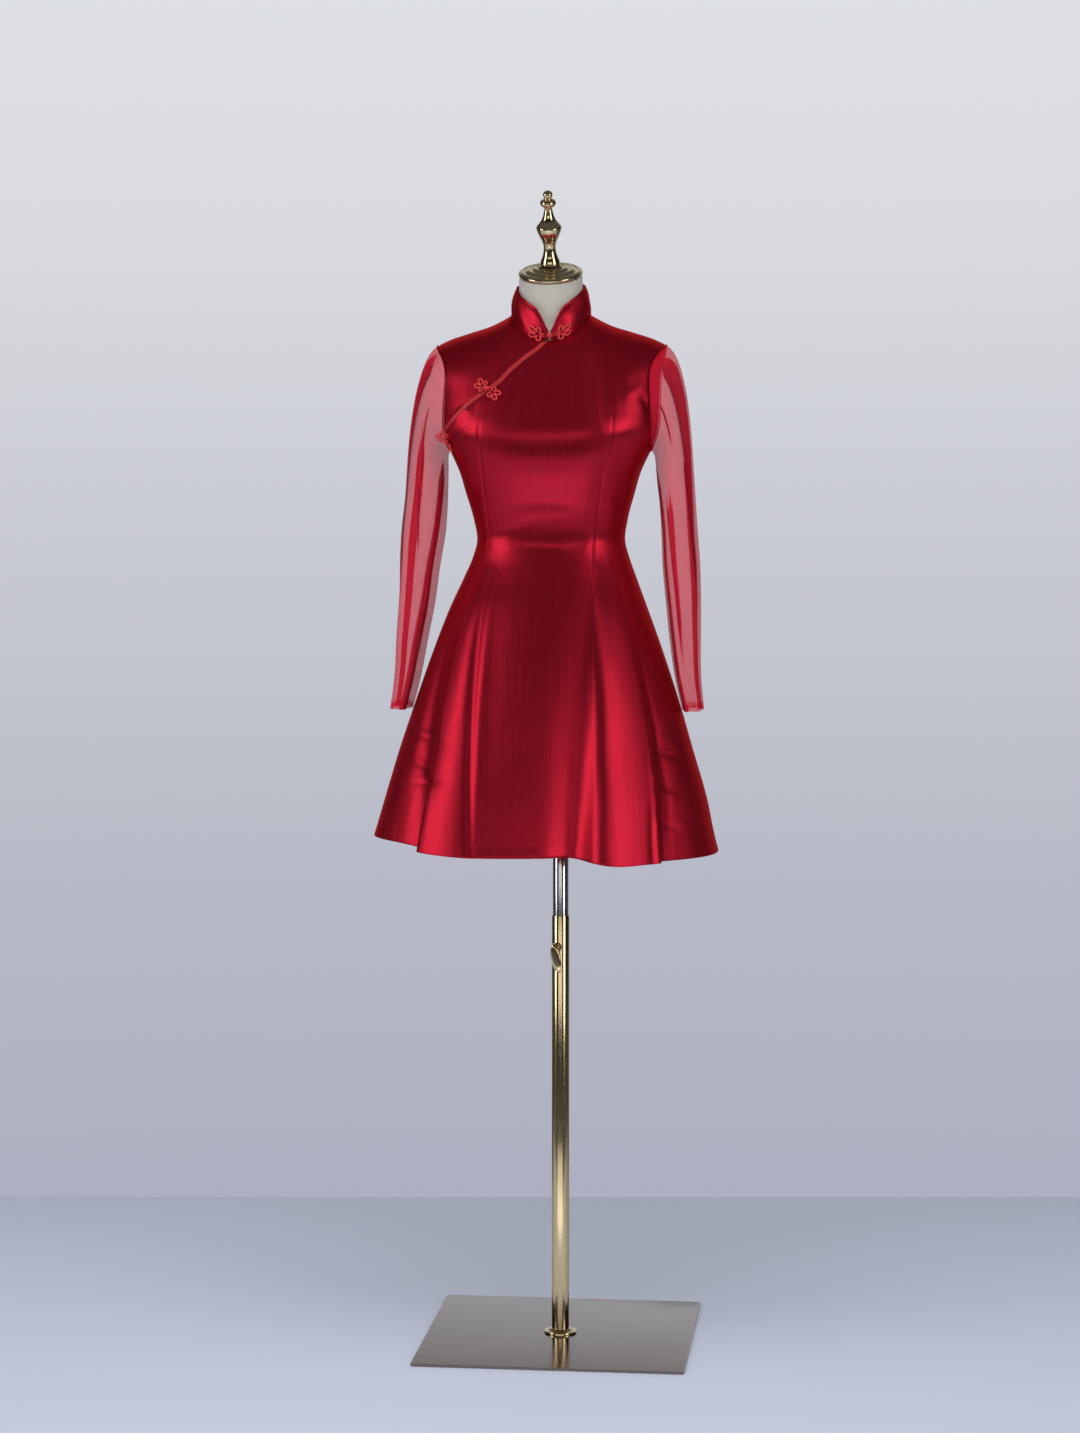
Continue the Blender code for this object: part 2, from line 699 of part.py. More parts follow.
def collar():
    """The stand collar, cut back at the front to a deep open notch."""
    angles = spread(COLLAR_TURN + 1.5, COLLAR_TURN + 358.5, 45)
    rows = []
    for level in spread(0.0, 1.0, 6):
        row = []
        for angle in angles:
            from_front = abs((angle - COLLAR_TURN + 180) % 360 - 180)
            cut = column(COLLAR_CUT, "angle", from_front, "share")
            row.append(collar_point(angle, level * cut))
        rows.append(row)
    return cloth("collar", rows, SATIN, COLLAR_WALL)


def opening_binding():
    """A bias strip along the edge of the opening, lying on the two fronts."""
    rows = [[], [], [], []]
    for share in spread(-0.985, -0.045, 34):
        height = opening_height(share)
        here, across, up, out = shell_frame(share, height, -1)
        d = 0.004
        ahead = shell_point(share + d, opening_height(share + d), -1)
        behind = shell_point(share - d, opening_height(share - d), -1)
        along = (ahead - behind).normalized()
        sideways = out.cross(along).normalized()
        for row, place in zip(rows, (-0.5, -0.17, 0.17, 0.5)):
            row.append(on_front(here + sideways * BINDING_WIDTH * place, share, height, BINDING_LIFT))
    return cloth("opening_binding", rows, CORD_SATIN, BINDING_WALL, outward=True)


def on_front(target, share, height, lift):
    """The point of the front nearest a target, found in a few steps and lifted off the cloth."""
    for _ in range(6):
        here, across, up, out = shell_frame(share, height, -1)
        miss = target - here
        share += miss.dot(across) / across.length_squared
        height += miss.dot(up) / up.length_squared
        share, height = max(min(share, 1.0), -1.0), min(height, TOP)
    here, across, up, out = shell_frame(share, height, -1)
    return here + out * lift


def flower_path(size):
    """One half of a frog in its own plane: two strands from the knot that open into petals."""
    centre = STEM + PETAL_RING
    gap = STRANDS_APART / 2
    start = KNOT * size**0.5 + 0.0005
    points = [(start, gap), (STEM * 0.60, gap)]
    for i in range(PETAL_STEPS):
        a = math.pi - (0.52 + (2 * math.pi - 1.04) * i / (PETAL_STEPS - 1))
        r = PETAL_RING + PETAL_REACH * math.cos(PETALS * a)
        points.append((centre + r * math.cos(a), r * math.sin(a)))
    points += [(STEM * 0.60, -gap), (start, -gap)]
    return [(max(p * size, start), math.copysign(max(abs(q * size), gap), q)) for p, q in points]


def cord(name, points, outs):
    """A round cord swept along points, kept upright to the cloth under it."""
    axis = Vector((FORM_X, FORM_Y, 0.0))
    swept = bmesh.new()
    rings = []
    for i, (point, out) in enumerate(zip(points, outs)):
        ahead = points[min(i + 1, len(points) - 1)] - points[max(i - 1, 0)]
        aside = ahead.cross(out).normalized()
        lift = aside.cross(ahead).normalized()
        ring = []
        for k in range(CORD_SIDES):
            a = 2 * math.pi * k / CORD_SIDES
            reach = aside * math.cos(a) + lift * math.sin(a)
            ring.append(swept.verts.new(point + axis + reach * CORD / 2))
        rings.append(ring)
    for low, high in zip(rings, rings[1:]):
        for k in range(CORD_SIDES):
            j = (k + 1) % CORD_SIDES
            swept.faces.new((low[k], low[j], high[j], high[k]))
    swept.faces.new(rings[0][::-1])
    swept.faces.new(rings[-1])
    bmesh.ops.recalc_face_normals(swept, faces=swept.faces)
    mesh = bpy.data.meshes.new(name)
    swept.to_mesh(mesh)
    swept.free()
    mesh.shade_smooth()
    return new_object(name, mesh, CORD_SATIN)


def frog(name, size, place_on, seat=1.02):
    """A frog fastening: a knot and two flowers, laid where place_on puts each flat point."""
    for side, ending in ((1, "left"), (-1, "right")):
        placed = [place_on(p * side, q * side, 0.0) for p, q in flower_path(size)]
        cord(name + "_" + ending, [at for at, out in placed], [out for at, out in placed])
    radius = KNOT * size**0.5
    at, out = place_on(0.0, 0.0, radius * seat - CORD / 2)
    knot = bmesh.new()
    bmesh.ops.create_uvsphere(knot, u_segments=10, v_segments=7, radius=radius)
    bmesh.ops.translate(knot, verts=knot.verts, vec=at + Vector((FORM_X, FORM_Y, 0.0)))
    mesh = bpy.data.meshes.new(name + "_knot")
    knot.to_mesh(mesh)
    knot.free()
    mesh.shade_smooth()
    return new_object(name + "_knot", mesh, CORD_SATIN)


def front_frog(name, place):
    """A frog across the opening on the front."""
    height = opening_height(place.share) + place.rise
    here, across, up, out = shell_frame(place.share, height, -1)
    right = across.normalized()
    slant = math.radians(place.slant)
    along = (right * math.cos(slant) + out.cross(right) * math.sin(slant)).normalized()
    sideways = out.cross(along)

    def place_on(p, q, more):
        over = min(1.0, max(0.0, (STEM * place.size - abs(p)) / 0.004))
        clear = (BINDING_LIFT + BINDING_WALL) * over + CORD_LIFT + CORD / 2
        flat = here + along * p + sideways * q
        foot = on_front(flat, place.share, height, 0.0)
        out_there = (on_front(flat, place.share, height, 0.001) - foot).normalized()
        return foot + out_there * (clear + more), out_there

    return frog(name, place.size, place_on)


def underarm_frog():
    """The frog at the underarm: one flower lies on the front, and one over the sleeve's head."""
    here, across, up, face = shell_frame(*UNDERARM_KNOT, -1)
    clear = BINDING_LIFT + BINDING_WALL + CORD / 2
    down = (shell_point(*UNDERARM_DOWN, -1) - here).normalized()
    face = (face - down * face.dot(down)).normalized()
    over = Vector(UNDERARM_UP).normalized()
    front = Vector(UNDERARM_FACE)
    front = (front - over * front.dot(over)).normalized()

    def place_on(p, q, more):
        along, out = (down, face) if p >= 0 else (-over, front)
        if more:
            out = (face + front).normalized()
        return here + (face + front) * clear / 1.6 + along * p + out.cross(along) * q + out * more, out

    return frog("underarm_frog", UNDERARM_SIZE, place_on)


def collar_frog():
    """The frog that closes the collar, lying round its foot."""
    clear = CORD_LIFT + CORD / 2
    arc = math.degrees(1 / NECK_FRONT)

    def place_on(p, q, more):
        angle = COLLAR_TURN + p * arc
        share = 0.10 + (q + abs(p) * 0.10) / 0.050
        here = collar_point(angle, share)
        d = 0.5
        across = collar_point(angle + d, share) - collar_point(angle - d, share)
        up = collar_point(angle, share + 0.02) - collar_point(angle, share - 0.02)
        out = across.cross(up).normalized()
        return here + out * (clear + more + max(0.0, 0.03 - share) * 0.055), out

    return frog("collar_frog", 1.0, place_on, COLLAR_KNOT_SEAT)


def form_ring(z, count):
    """A level ring of the dress form, clear of the dress round it."""
    points = []
    for i in range(count):
        a = 2 * math.pi * i / count
        front = math.cos(a) > 0
        if z > CHEST:
            wide = column(FORM_UPPER, "z", z, "wide")
            deep = column(FORM_UPPER, "z", z, "front" if front else "back")
            power = 2 / column(FORM_UPPER, "z", z, "square")
        else:
            wide = min(body(z, "right"), body(z, "left")) - FORM_EASE
            deep = body(z, "front" if front else "back") - FORM_EASE
            power = 2 / body(z, "front_square" if front else "back_square")
            if z < FORM_HIPS[-1].z + 0.06:
                blend = min(1.0, max(0.0, (z - FORM_HIPS[-1].z) / 0.06))
                hip_z = min(z, FORM_HIPS[-1].z)
                hip_wide = column(FORM_HIPS, "z", hip_z, "wide")
                hip_deep = column(FORM_HIPS, "z", hip_z, "front" if front else "back")
                wide = hip_wide + (wide - hip_wide) * blend if blend else hip_wide
                deep = hip_deep + (deep - hip_deep) * blend if blend else hip_deep
        x = math.copysign(wide * abs(math.sin(a)) ** power, math.sin(a))
        y = -math.copysign(deep * abs(math.cos(a)) ** power, math.cos(a))
        x = max(-ARM_PLATE, min(ARM_PLATE, x)) if z > UNDERARM - 0.02 else x
        points.append(Vector((x, y, z)))
    return points


def neck_ring(count):
    """The neck's top ring, leaning forward."""
    points = []
    for i in range(count):
        a = 2 * math.pi * i / count
        x = NECK_TOP_RADIUS * math.sin(a)
        y = -NECK_TOP_RADIUS * math.cos(a)
        points.append(neck_place(Vector((x, y, 0.0))))
    return points


def neck_place(local):
    """A point given from the neck's top, turned to its lean."""
    turned = Matrix.Rotation(NECK_LEAN, 4, "X") @ local
    return turned + Vector((0.0, NECK_TOP_Y, NECK_TOP_Z))


def torso():
    """The limbless form: hips, waist, bust, shoulders and neck in one closed body."""
    count = 40
    levels = spread(FORM_BOTTOM, 1.12, 6) + [1.16, 1.20, 1.235, WAIST, 1.275, 1.30, 1.33, 1.36]
    levels += [1.39, 1.42, 1.45, 1.475, 1.4995]
    rows = [form_ring(z, count) for z in levels + [row.z for row in FORM_UPPER]]
    rows.append(neck_ring(count))
    axis = Vector((FORM_X, FORM_Y, 0.0))
    mesh = grid_mesh("torso_form", [[p + axis for p in row] for row in rows], closed=True)
    closed = bmesh.new()
    closed.from_mesh(mesh)
    bmesh.ops.holes_fill(closed, edges=closed.edges)
    bmesh.ops.recalc_face_normals(closed, faces=closed.faces)
    closed.to_mesh(mesh)
    closed.free()
    mesh.shade_smooth()
    mesh.set_sharp_from_angle(angle=math.radians(40))
    return new_object("torso_form", mesh, FORM_JERSEY)


def turned(name, profile, finish, lift=0.0):
    """A turned piece from its profile, top to bottom down the outer side."""
    mesh = bpy.data.meshes.new(name)
    outline = bmesh.new()
    verts = [outline.verts.new((p.radius, 0.0, p.height + lift)) for p in profile]
    for a, b in zip(verts, verts[1:]):
        outline.edges.new((a, b))
    if profile[0].radius > 0:
        outline.edges.new((verts[-1], verts[0]))
    outline.to_mesh(mesh)
    outline.free()
    obj = new_object(name, mesh, finish)
    screw = obj.modifiers.new("turn", "SCREW")
    screw.steps = TURN_STEPS
    screw.render_steps = TURN_STEPS
    screw.use_merge_vertices = True
    screw.merge_threshold = 0.00001
    screw.use_smooth_shade = True
    return obj


def set_on_neck(obj):
    axis = Vector((FORM_X, FORM_Y, 0.0))
    place = Matrix.Translation(axis + Vector((0.0, NECK_TOP_Y, NECK_TOP_Z)))
    obj.matrix_world = place @ Matrix.Rotation(NECK_LEAN, 4, "X")
    return obj


def tube(name, radius, wall, low, high, finish):
    """A round tube on the pole's axis."""
    profile = [
        TurnedPoint(radius - wall, high),
        TurnedPoint(radius, high),
        TurnedPoint(radius, low),
        TurnedPoint(radius - wall, low),
    ]
    return turned(name, profile, finish)


def stand():
    """Base plate, flange, the two tubes, the socket under the form and the clamp screw."""
    bpy.ops.mesh.primitive_cube_add(size=1.0, location=(0.0, 0.0, PLATE_THICK / 2))
    plate = bpy.context.object
    plate.name = "base_plate"
    plate.data.transform(Matrix.Diagonal((PLATE_SIDE, PLATE_SIDE, PLATE_THICK, 1.0)))
    file_away(plate, PLATE_STEEL)
    round_upright_edges(plate, PLATE_CORNER)

    flange_low = PLATE_THICK + SEAM_GAP
    inner = LOWER_TUBE_RADIUS + SEAM_GAP
    flange = [
        TurnedPoint(inner, flange_low + 0.0070),
        TurnedPoint(inner + 0.0025, flange_low + 0.0070),
        TurnedPoint(inner + 0.0045, flange_low + 0.0050),
        TurnedPoint(FLANGE_RADIUS - 0.002, flange_low + 0.0035),
        TurnedPoint(FLANGE_RADIUS, flange_low + 0.0020),
        TurnedPoint(FLANGE_RADIUS, flange_low),
        TurnedPoint(inner, flange_low),
    ]
    turned("pole_flange", flange, GOLD)
    tube("lower_tube", LOWER_TUBE_RADIUS, LOWER_TUBE_WALL, flange_low, LOWER_TUBE_TOP, GOLD)
    mast_top = FORM_BOTTOM - SEAM_GAP
    tube("mast_tube", MAST_RADIUS, MAST_WALL, MAST_BOTTOM, mast_top, STEEL)

    bore = MAST_RADIUS + SEAM_GAP
    socket_top = FORM_BOTTOM - SEAM_GAP
    socket = [
        TurnedPoint(bore, socket_top),
        TurnedPoint(SOCKET_PLATE_RADIUS, socket_top),
        TurnedPoint(SOCKET_PLATE_RADIUS, socket_top - SOCKET_PLATE),
        TurnedPoint(SOCKET_RADIUS, socket_top - SOCKET_PLATE - 0.002),
        TurnedPoint(SOCKET_RADIUS - 0.006, socket_top - SOCKET_DEPTH),
        TurnedPoint(bore, socket_top - SOCKET_DEPTH),
    ]
    turned("form_socket", socket, STEEL)
    clamp()


def file_away(obj, finish):
    """Moves an object that a primitive made into the collection, with its finish."""
    for collection in list(obj.users_collection):
        collection.objects.unlink(obj)
    parts_collection().objects.link(obj)
    obj.data.materials.clear()
    obj.data.materials.append(bpy.data.materials.get(finish_name(finish)) or new_material(finish))


def round_upright_edges(obj, radius):
    weights = obj.data.attributes.new("bevel_weight_edge", "FLOAT", "EDGE")
    for edge in obj.data.edges:
        a, b = (obj.data.vertices[i].co for i in edge.vertices)
        weights.data[edge.index].value = 1.0 if abs(a.z - b.z) > 0.001 else 0.0
    bevel = obj.modifiers.new("corners", "BEVEL")
    bevel.limit_method = "WEIGHT"
    bevel.width = radius
    bevel.segments = 4


def clamp():
    """A boss on the lower tube, and the thumb screw that grips the mast through it."""
    toward = Matrix.Rotation(CLAMP_TURN, 4, "Z") @ Matrix.Rotation(math.radians(90), 4, "X")
    level = Matrix.Translation((0.0, 0.0, CLAMP_Z))
    start = LOWER_TUBE_RADIUS + SEAM_GAP
    boss = [
        TurnedPoint(SCREW_RADIUS + SEAM_GAP, BOSS_LENGTH),
        TurnedPoint(BOSS_RADIUS, BOSS_LENGTH),
        TurnedPoint(BOSS_RADIUS, 0.0),
        TurnedPoint(SCREW_RADIUS + SEAM_GAP, 0.0),
    ]
    ring = turned("clamp_boss", boss, GOLD)
    ring.matrix_world = level @ toward @ Matrix.Translation((0.0, 0.0, start))

    screw_end = start + BOSS_LENGTH + SCREW_LENGTH
    grip = bmesh.new()
    bmesh.ops.create_cone(
        grip,
        cap_ends=True,
        segments=16,
        radius1=SCREW_RADIUS,
        radius2=SCREW_RADIUS,
        depth=screw_end - start - 0.0005,
        matrix=Matrix.Translation((0.0, 0.0, (screw_end + start) / 2)),
    )
    mesh = bpy.data.meshes.new("clamp_screw")
    grip.to_mesh(mesh)
    grip.free()
    screw = new_object("clamp_screw", mesh, GOLD)
    handle = handle_mesh(screw_end)
    join = screw.modifiers.new("handle", "BOOLEAN")
    join.operation = "UNION"
    join.object = handle
    screw.matrix_world = level @ toward
    handle.matrix_world = level @ toward


def handle_mesh(screw_end):
    """A flat teardrop paddle that hangs from the screw's head."""
    curve = bpy.data.curves.new("handle_outline", "CURVE")
    curve.dimensions = "2D"
    curve.fill_mode = "BOTH"
    curve.extrude = HANDLE_THICK / 2
    line = curve.splines.new("POLY")
    count = 22
    line.points.add(count - 1)
    for i, point in enumerate(line.points):
        a = 2 * math.pi * i / count
        along = HANDLE_LENGTH / 2 * (1 - math.cos(a)) - 0.007
        across = HANDLE_WIDTH / 2 * math.sin(a) * (0.75 + 0.25 * math.sin(a / 2))
        lean = Matrix.Rotation(HANDLE_LEAN, 2)
        x, y = lean @ Vector((across, -along))
        point.co = (x, y, 0.0, 1.0)
    line.use_cyclic_u = True
    flat = bpy.data.objects.new("handle_outline", curve)
    parts_collection().objects.link(flat)
    bpy.context.view_layer.update()
    shape = flat.evaluated_get(bpy.context.evaluated_depsgraph_get())
    mesh = bpy.data.meshes.new_from_object(shape)
    bpy.data.objects.remove(flat)
    closed = bmesh.new()
    closed.from_mesh(mesh)
    bmesh.ops.remove_doubles(closed, verts=closed.verts, dist=0.00001)
    bmesh.ops.translate(closed, verts=closed.verts, vec=(0.0, 0.0, screw_end))
    bmesh.ops.recalc_face_normals(closed, faces=closed.faces)
    closed.to_mesh(mesh)
    closed.free()
    handle = bpy.data.objects.new("handle_cutter", mesh)
    cutters = bpy.data.collections.new("cutters")
    bpy.context.scene.collection.children.link(cutters)
    cutters.objects.link(handle)
    handle.hide_render = True
    handle.display_type = "WIRE"
    return handle


def build():
    for obj in list(bpy.data.objects):
        bpy.data.objects.remove(obj)
    front_panel()
    underlap()
    back_panel()
    collar()
    sleeve("sleeve_right", -1)
    sleeve("sleeve_left", 1)
    opening_binding()
    collar_frog()
    front_frog("chest_frog", CHEST_FROG)
    underarm_frog()
    torso()
    set_on_neck(turned("neck_cap", CAP, GOLD, SEAM_GAP))
    set_on_neck(turned("finial", FINIAL, GOLD, CAP[0].height + 2 * SEAM_GAP))
    stand()


build()
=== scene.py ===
"""A short satin cheongsam with sheer sleeves, on a limbless dress form and telescopic stand.

The front faces -Y. Left and right are the wearer's, so the right sleeve is on the -X side.
"""

import math
from collections import namedtuple

import bmesh
import bpy
import numpy as np
from bpy.props import FloatProperty, FloatVectorProperty, IntProperty, PointerProperty
from bpy.types import Operator, Panel, PropertyGroup
from mathutils import Matrix, Vector


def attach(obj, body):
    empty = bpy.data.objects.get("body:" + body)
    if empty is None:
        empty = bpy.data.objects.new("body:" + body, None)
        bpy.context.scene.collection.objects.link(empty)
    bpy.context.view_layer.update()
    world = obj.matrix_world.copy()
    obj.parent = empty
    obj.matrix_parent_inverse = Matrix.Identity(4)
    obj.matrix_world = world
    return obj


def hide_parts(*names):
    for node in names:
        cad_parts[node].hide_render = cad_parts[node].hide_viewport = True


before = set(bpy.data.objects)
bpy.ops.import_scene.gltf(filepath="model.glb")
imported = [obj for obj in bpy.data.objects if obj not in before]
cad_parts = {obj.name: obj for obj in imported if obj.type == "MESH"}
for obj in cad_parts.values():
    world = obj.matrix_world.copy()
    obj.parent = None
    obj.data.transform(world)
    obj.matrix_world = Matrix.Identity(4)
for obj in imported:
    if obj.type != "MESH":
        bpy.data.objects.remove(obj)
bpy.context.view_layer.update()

bl_info = {
    "name": "Cheongsam on a dress form",
    "version": (1, 0, 0),
    "blender": (4, 5, 0),
    "location": "View3D > Sidebar > Cheongsam",
    "description": "Makes a satin cheongsam with sheer sleeves on a dress form and its stand",
    "category": "Object",
}

# Where the form stands over the pole, and the heights that the dress is cut to
FORM_X = -0.013
FORM_Y = -0.020
HEM = 0.785
WAIST = 1.254
UNDERARM = 1.395
CHEST = 1.500
TOP = 1.580
TOP_EDGE = 1.5795
SEAM_GAP = 0.0003
OPENING_GAP = 0.0006

# Half sizes of the dress from the form's axis
Section = namedtuple("Section", "z right left front back front_square back_square")
BODY = [
    Section(0.765, 0.288, 0.264, 0.214, 0.224, 2.00, 2.00),
    Section(0.800, 0.277, 0.255, 0.206, 0.217, 2.00, 2.00),
    Section(0.857, 0.260, 0.243, 0.194, 0.205, 2.00, 2.00),
    Section(0.933, 0.237, 0.221, 0.177, 0.188, 2.00, 2.00),
    Section(1.009, 0.211, 0.199, 0.160, 0.170, 2.05, 2.00),
    Section(1.085, 0.184, 0.174, 0.141, 0.150, 2.10, 2.05),
    Section(1.160, 0.154, 0.147, 0.117, 0.124, 2.20, 2.10),
    Section(1.198, 0.136, 0.133, 0.102, 0.106, 2.25, 2.15),
    Section(1.235, 0.120, 0.120, 0.091, 0.086, 2.25, 2.20),
    Section(1.254, 0.115, 0.115, 0.088, 0.080, 2.25, 2.20),
    Section(1.291, 0.120, 0.119, 0.094, 0.084, 2.30, 2.20),
    Section(1.329, 0.131, 0.129, 0.107, 0.092, 2.40, 2.25),
    Section(1.366, 0.142, 0.140, 0.121, 0.100, 2.50, 2.30),
    Section(1.395, 0.155, 0.154, 0.129, 0.105, 2.50, 2.30),
    Section(1.425, 0.171, 0.171, 0.130, 0.109, 2.50, 2.35),
    Section(1.460, 0.181, 0.181, 0.119, 0.111, 2.45, 2.40),
    Section(1.500, 0.187, 0.187, 0.103, 0.108, 2.40, 2.40),
]

# The armhole's edge, as the angle round the body from the centre front or back
ArmholeEdge = namedtuple("ArmholeEdge", "z front back")
ARMHOLE = [
    ArmholeEdge(1.395, 90.0, 90.0),
    ArmholeEdge(1.401, 79.0, 81.0),
    ArmholeEdge(1.411, 71.5, 75.0),
    ArmholeEdge(1.425, 66.0, 70.0),
    ArmholeEdge(1.460, 58.0, 62.5),
    ArmholeEdge(1.500, 53.5, 59.0),
]

# The shoulder seam and the neckline
ShoulderPoint = namedtuple("ShoulderPoint", "x y z")
SHOULDER = [
    ShoulderPoint(0.0615, 0.000, 1.604),
    ShoulderPoint(0.072, 0.001, 1.598),
    ShoulderPoint(0.090, 0.002, 1.589),
    ShoulderPoint(0.127, 0.004, 1.577),
    ShoulderPoint(0.160, 0.005, 1.566),
    ShoulderPoint(0.177, 0.006, 1.558),
]
NECK_SIDE = 0.0615
NECK_FRONT = 0.064
NECK_BACK = 0.058
NECK_FRONT_Z = 1.5625
NECK_BACK_Z = 1.612
NECK_SHARE = 0.37

# The hem's height round the skirt, by share of the way from the centre (0) to the side (1)
HemPoint = namedtuple("HemPoint", "share right left")
HEM_FRONT = [
    HemPoint(0.00, 0.785, 0.785),
    HemPoint(0.16, 0.784, 0.783),
    HemPoint(0.24, 0.784, 0.776),
    HemPoint(0.43, 0.788, 0.775),
    HemPoint(0.55, 0.793, 0.775),
    HemPoint(1.00, 0.798, 0.776),
]
HEM_BACK = [
    HemPoint(0.00, 0.780, 0.780),
    HemPoint(0.50, 0.784, 0.777),
    HemPoint(1.00, 0.798, 0.776),
]

# The skirt's lines of cloth, by share of the way from centre to side at the waist and at the hem
FlareLine = namedtuple("FlareLine", "waist hem")
FRONT_FLARE = [
    FlareLine(-1.00, -1.000),
    FlareLine(-0.68, -0.505),
    FlareLine(-0.60, -0.425),
    FlareLine(-0.53, -0.235),
    FlareLine(0.26, 0.130),
    FlareLine(0.42, 0.235),
    FlareLine(0.62, 0.455),
    FlareLine(0.72, 0.535),
    FlareLine(1.00, 1.000),
]
BACK_FLARE = [
    FlareLine(-1.00, -1.000),
    FlareLine(-0.72, -0.540),
    FlareLine(-0.52, -0.250),
    FlareLine(0.52, 0.250),
    FlareLine(0.72, 0.540),
    FlareLine(1.00, 1.000),
]

# Skirt folds: the line each one follows, how far it stands out at the hem, how wide, and its start
Fold = namedtuple("Fold", "line height toward_right toward_left starts")
FRONT_FOLDS = [
    Fold(0.42, 0.021, 0.065, 0.160, 1.215),
    Fold(0.27, -0.019, 0.200, 0.090, 1.180),
    Fold(-0.53, 0.008, 0.050, 0.200, 1.225),
    Fold(-0.60, 0.013, 0.035, 0.060, 1.205),
    Fold(-0.69, -0.016, 0.150, 0.055, 1.175),
    Fold(0.62, 0.007, 0.110, 0.045, 1.190),
    Fold(0.72, -0.012, 0.050, 0.120, 1.150),
]
BACK_FOLDS = [
    Fold(0.52, 0.015, 0.160, 0.120, 1.210),
    Fold(0.26, -0.012, 0.140, 0.120, 1.170),
    Fold(0.00, 0.010, 0.140, 0.140, 1.180),
    Fold(-0.26, -0.012, 0.120, 0.140, 1.170),
    Fold(-0.52, 0.015, 0.120, 0.160, 1.210),
    Fold(-0.68, -0.014, 0.120, 0.080, 1.180),
    Fold(0.68, -0.014, 0.080, 0.120, 1.180),
]
FOLD_GROWTH = 1.25
FLARE_POWER = 0.75

# Creases laid one by one: from a line and height to another, in metres wide and deep (+ is a ridge). beyond
# is the width on the wearer's left where it differs, and a sharp one comes to an edge
Crease = namedtuple(
    "Crease", "line height to_line to_height bow width depth beyond sharp", defaults=(None, False)
)
FRONT_CREASES = [
    # the two long waist darts, sewn from the bust to the skirt
    Crease(0.342, 1.452, 0.375, 1.180, 0.0110, 0.0020, -0.0014),
    Crease(-0.320, 1.436, -0.575, 1.240, -0.0020, 0.0020, -0.0014),
    # hollows beside the darts
    Crease(0.50, 1.400, 0.80, 1.270, 0.002, 0.0200, -0.0020),
    Crease(-0.52, 1.350, -0.80, 1.265, 0.000, 0.0120, -0.0016),
    # the pressed edge down the left of the skirt
    Crease(0.368, 1.215, 0.385, 0.560, 0.000, 0.0150, 0.0040, 0.060, True),
    # the two soft ridges on the right
    Crease(-0.540, 1.235, -0.585, 0.600, 0.004, 0.0140, 0.0032, 0.0200),
    Crease(-0.400, 1.225, -0.475, 0.780, 0.004, 0.0150, 0.0022),
    Crease(-0.470, 1.180, -0.530, 0.640, 0.000, 0.0120, -0.0022),
    Crease(-0.74, 1.120, -0.620, 0.640, -0.008, 0.0150, -0.0040),
    # crumples low on the right
    Crease(-0.86, 0.962, -0.58, 0.948, 0.004, 0.0080, -0.0024),
    Crease(-0.80, 0.930, -0.60, 0.905, -0.004, 0.0070, 0.0022),
    Crease(-0.78, 0.890, -0.56, 0.900, 0.003, 0.0080, -0.0024),
    Crease(-0.63, 1.010, -0.61, 0.880, 0.003, 0.0050, -0.0022),
    Crease(-0.60, 0.880, -0.625, 0.740, 0.004, 0.0050, 0.0022),
    # wrinkles and the notch low on the left
    Crease(0.70, 1.085, 0.745, 0.800, 0.006, 0.0060, -0.0026, 0.0120, True),
    Crease(0.66, 1.020, 0.640, 0.700, -0.003, 0.0080, 0.0024),
    Crease(0.72, 0.940, 0.84, 0.925, 0.003, 0.0060, -0.0022),
    Crease(0.64, 0.905, 0.80, 0.865, -0.005, 0.0060, 0.0022),
    Crease(0.62, 0.850, 0.79, 0.820, 0.004, 0.0060, -0.0022),
    Crease(0.605, 0.860, 0.600, 0.700, 0.000, 0.0040, -0.0030, 0.0040, True),
    # drag lines across the waist
    Crease(-0.38, 1.316, 0.32, 1.310, 0.004, 0.0070, -0.0005),
    Crease(-0.35, 1.292, 0.21, 1.300, -0.004, 0.0070, 0.0005),
    Crease(-0.74, 1.260, -0.03, 1.287, 0.004, 0.0080, -0.0006),
    Crease(-0.20, 1.250, 0.32, 1.232, 0.006, 0.0120, -0.0010),
    Crease(0.38, 1.345, 0.78, 1.300, 0.005, 0.0080, -0.0010),
    Crease(-0.90, 1.360, -0.55, 1.320, -0.004, 0.0080, -0.0010),
    # soft puckers under the collar and beside the armholes
    Crease(0.05, 1.560, 0.21, 1.510, 0.004, 0.0080, 0.0012),
    Crease(-0.05, 1.548, 0.10, 1.500, 0.004, 0.0070, -0.0010),
    Crease(-0.12, 1.530, 0.14, 1.512, 0.005, 0.0090, -0.0008),
    Crease(0.68, 1.441, 0.53, 1.478, 0.004, 0.0080, -0.0012),
    Crease(0.60, 1.505, 0.40, 1.480, 0.005, 0.0090, 0.0010),
    Crease(-0.51, 1.446, -0.38, 1.456, -0.004, 0.0060, 0.0012),
    Crease(-0.51, 1.412, -0.36, 1.436, -0.003, 0.0060, -0.0012),
]
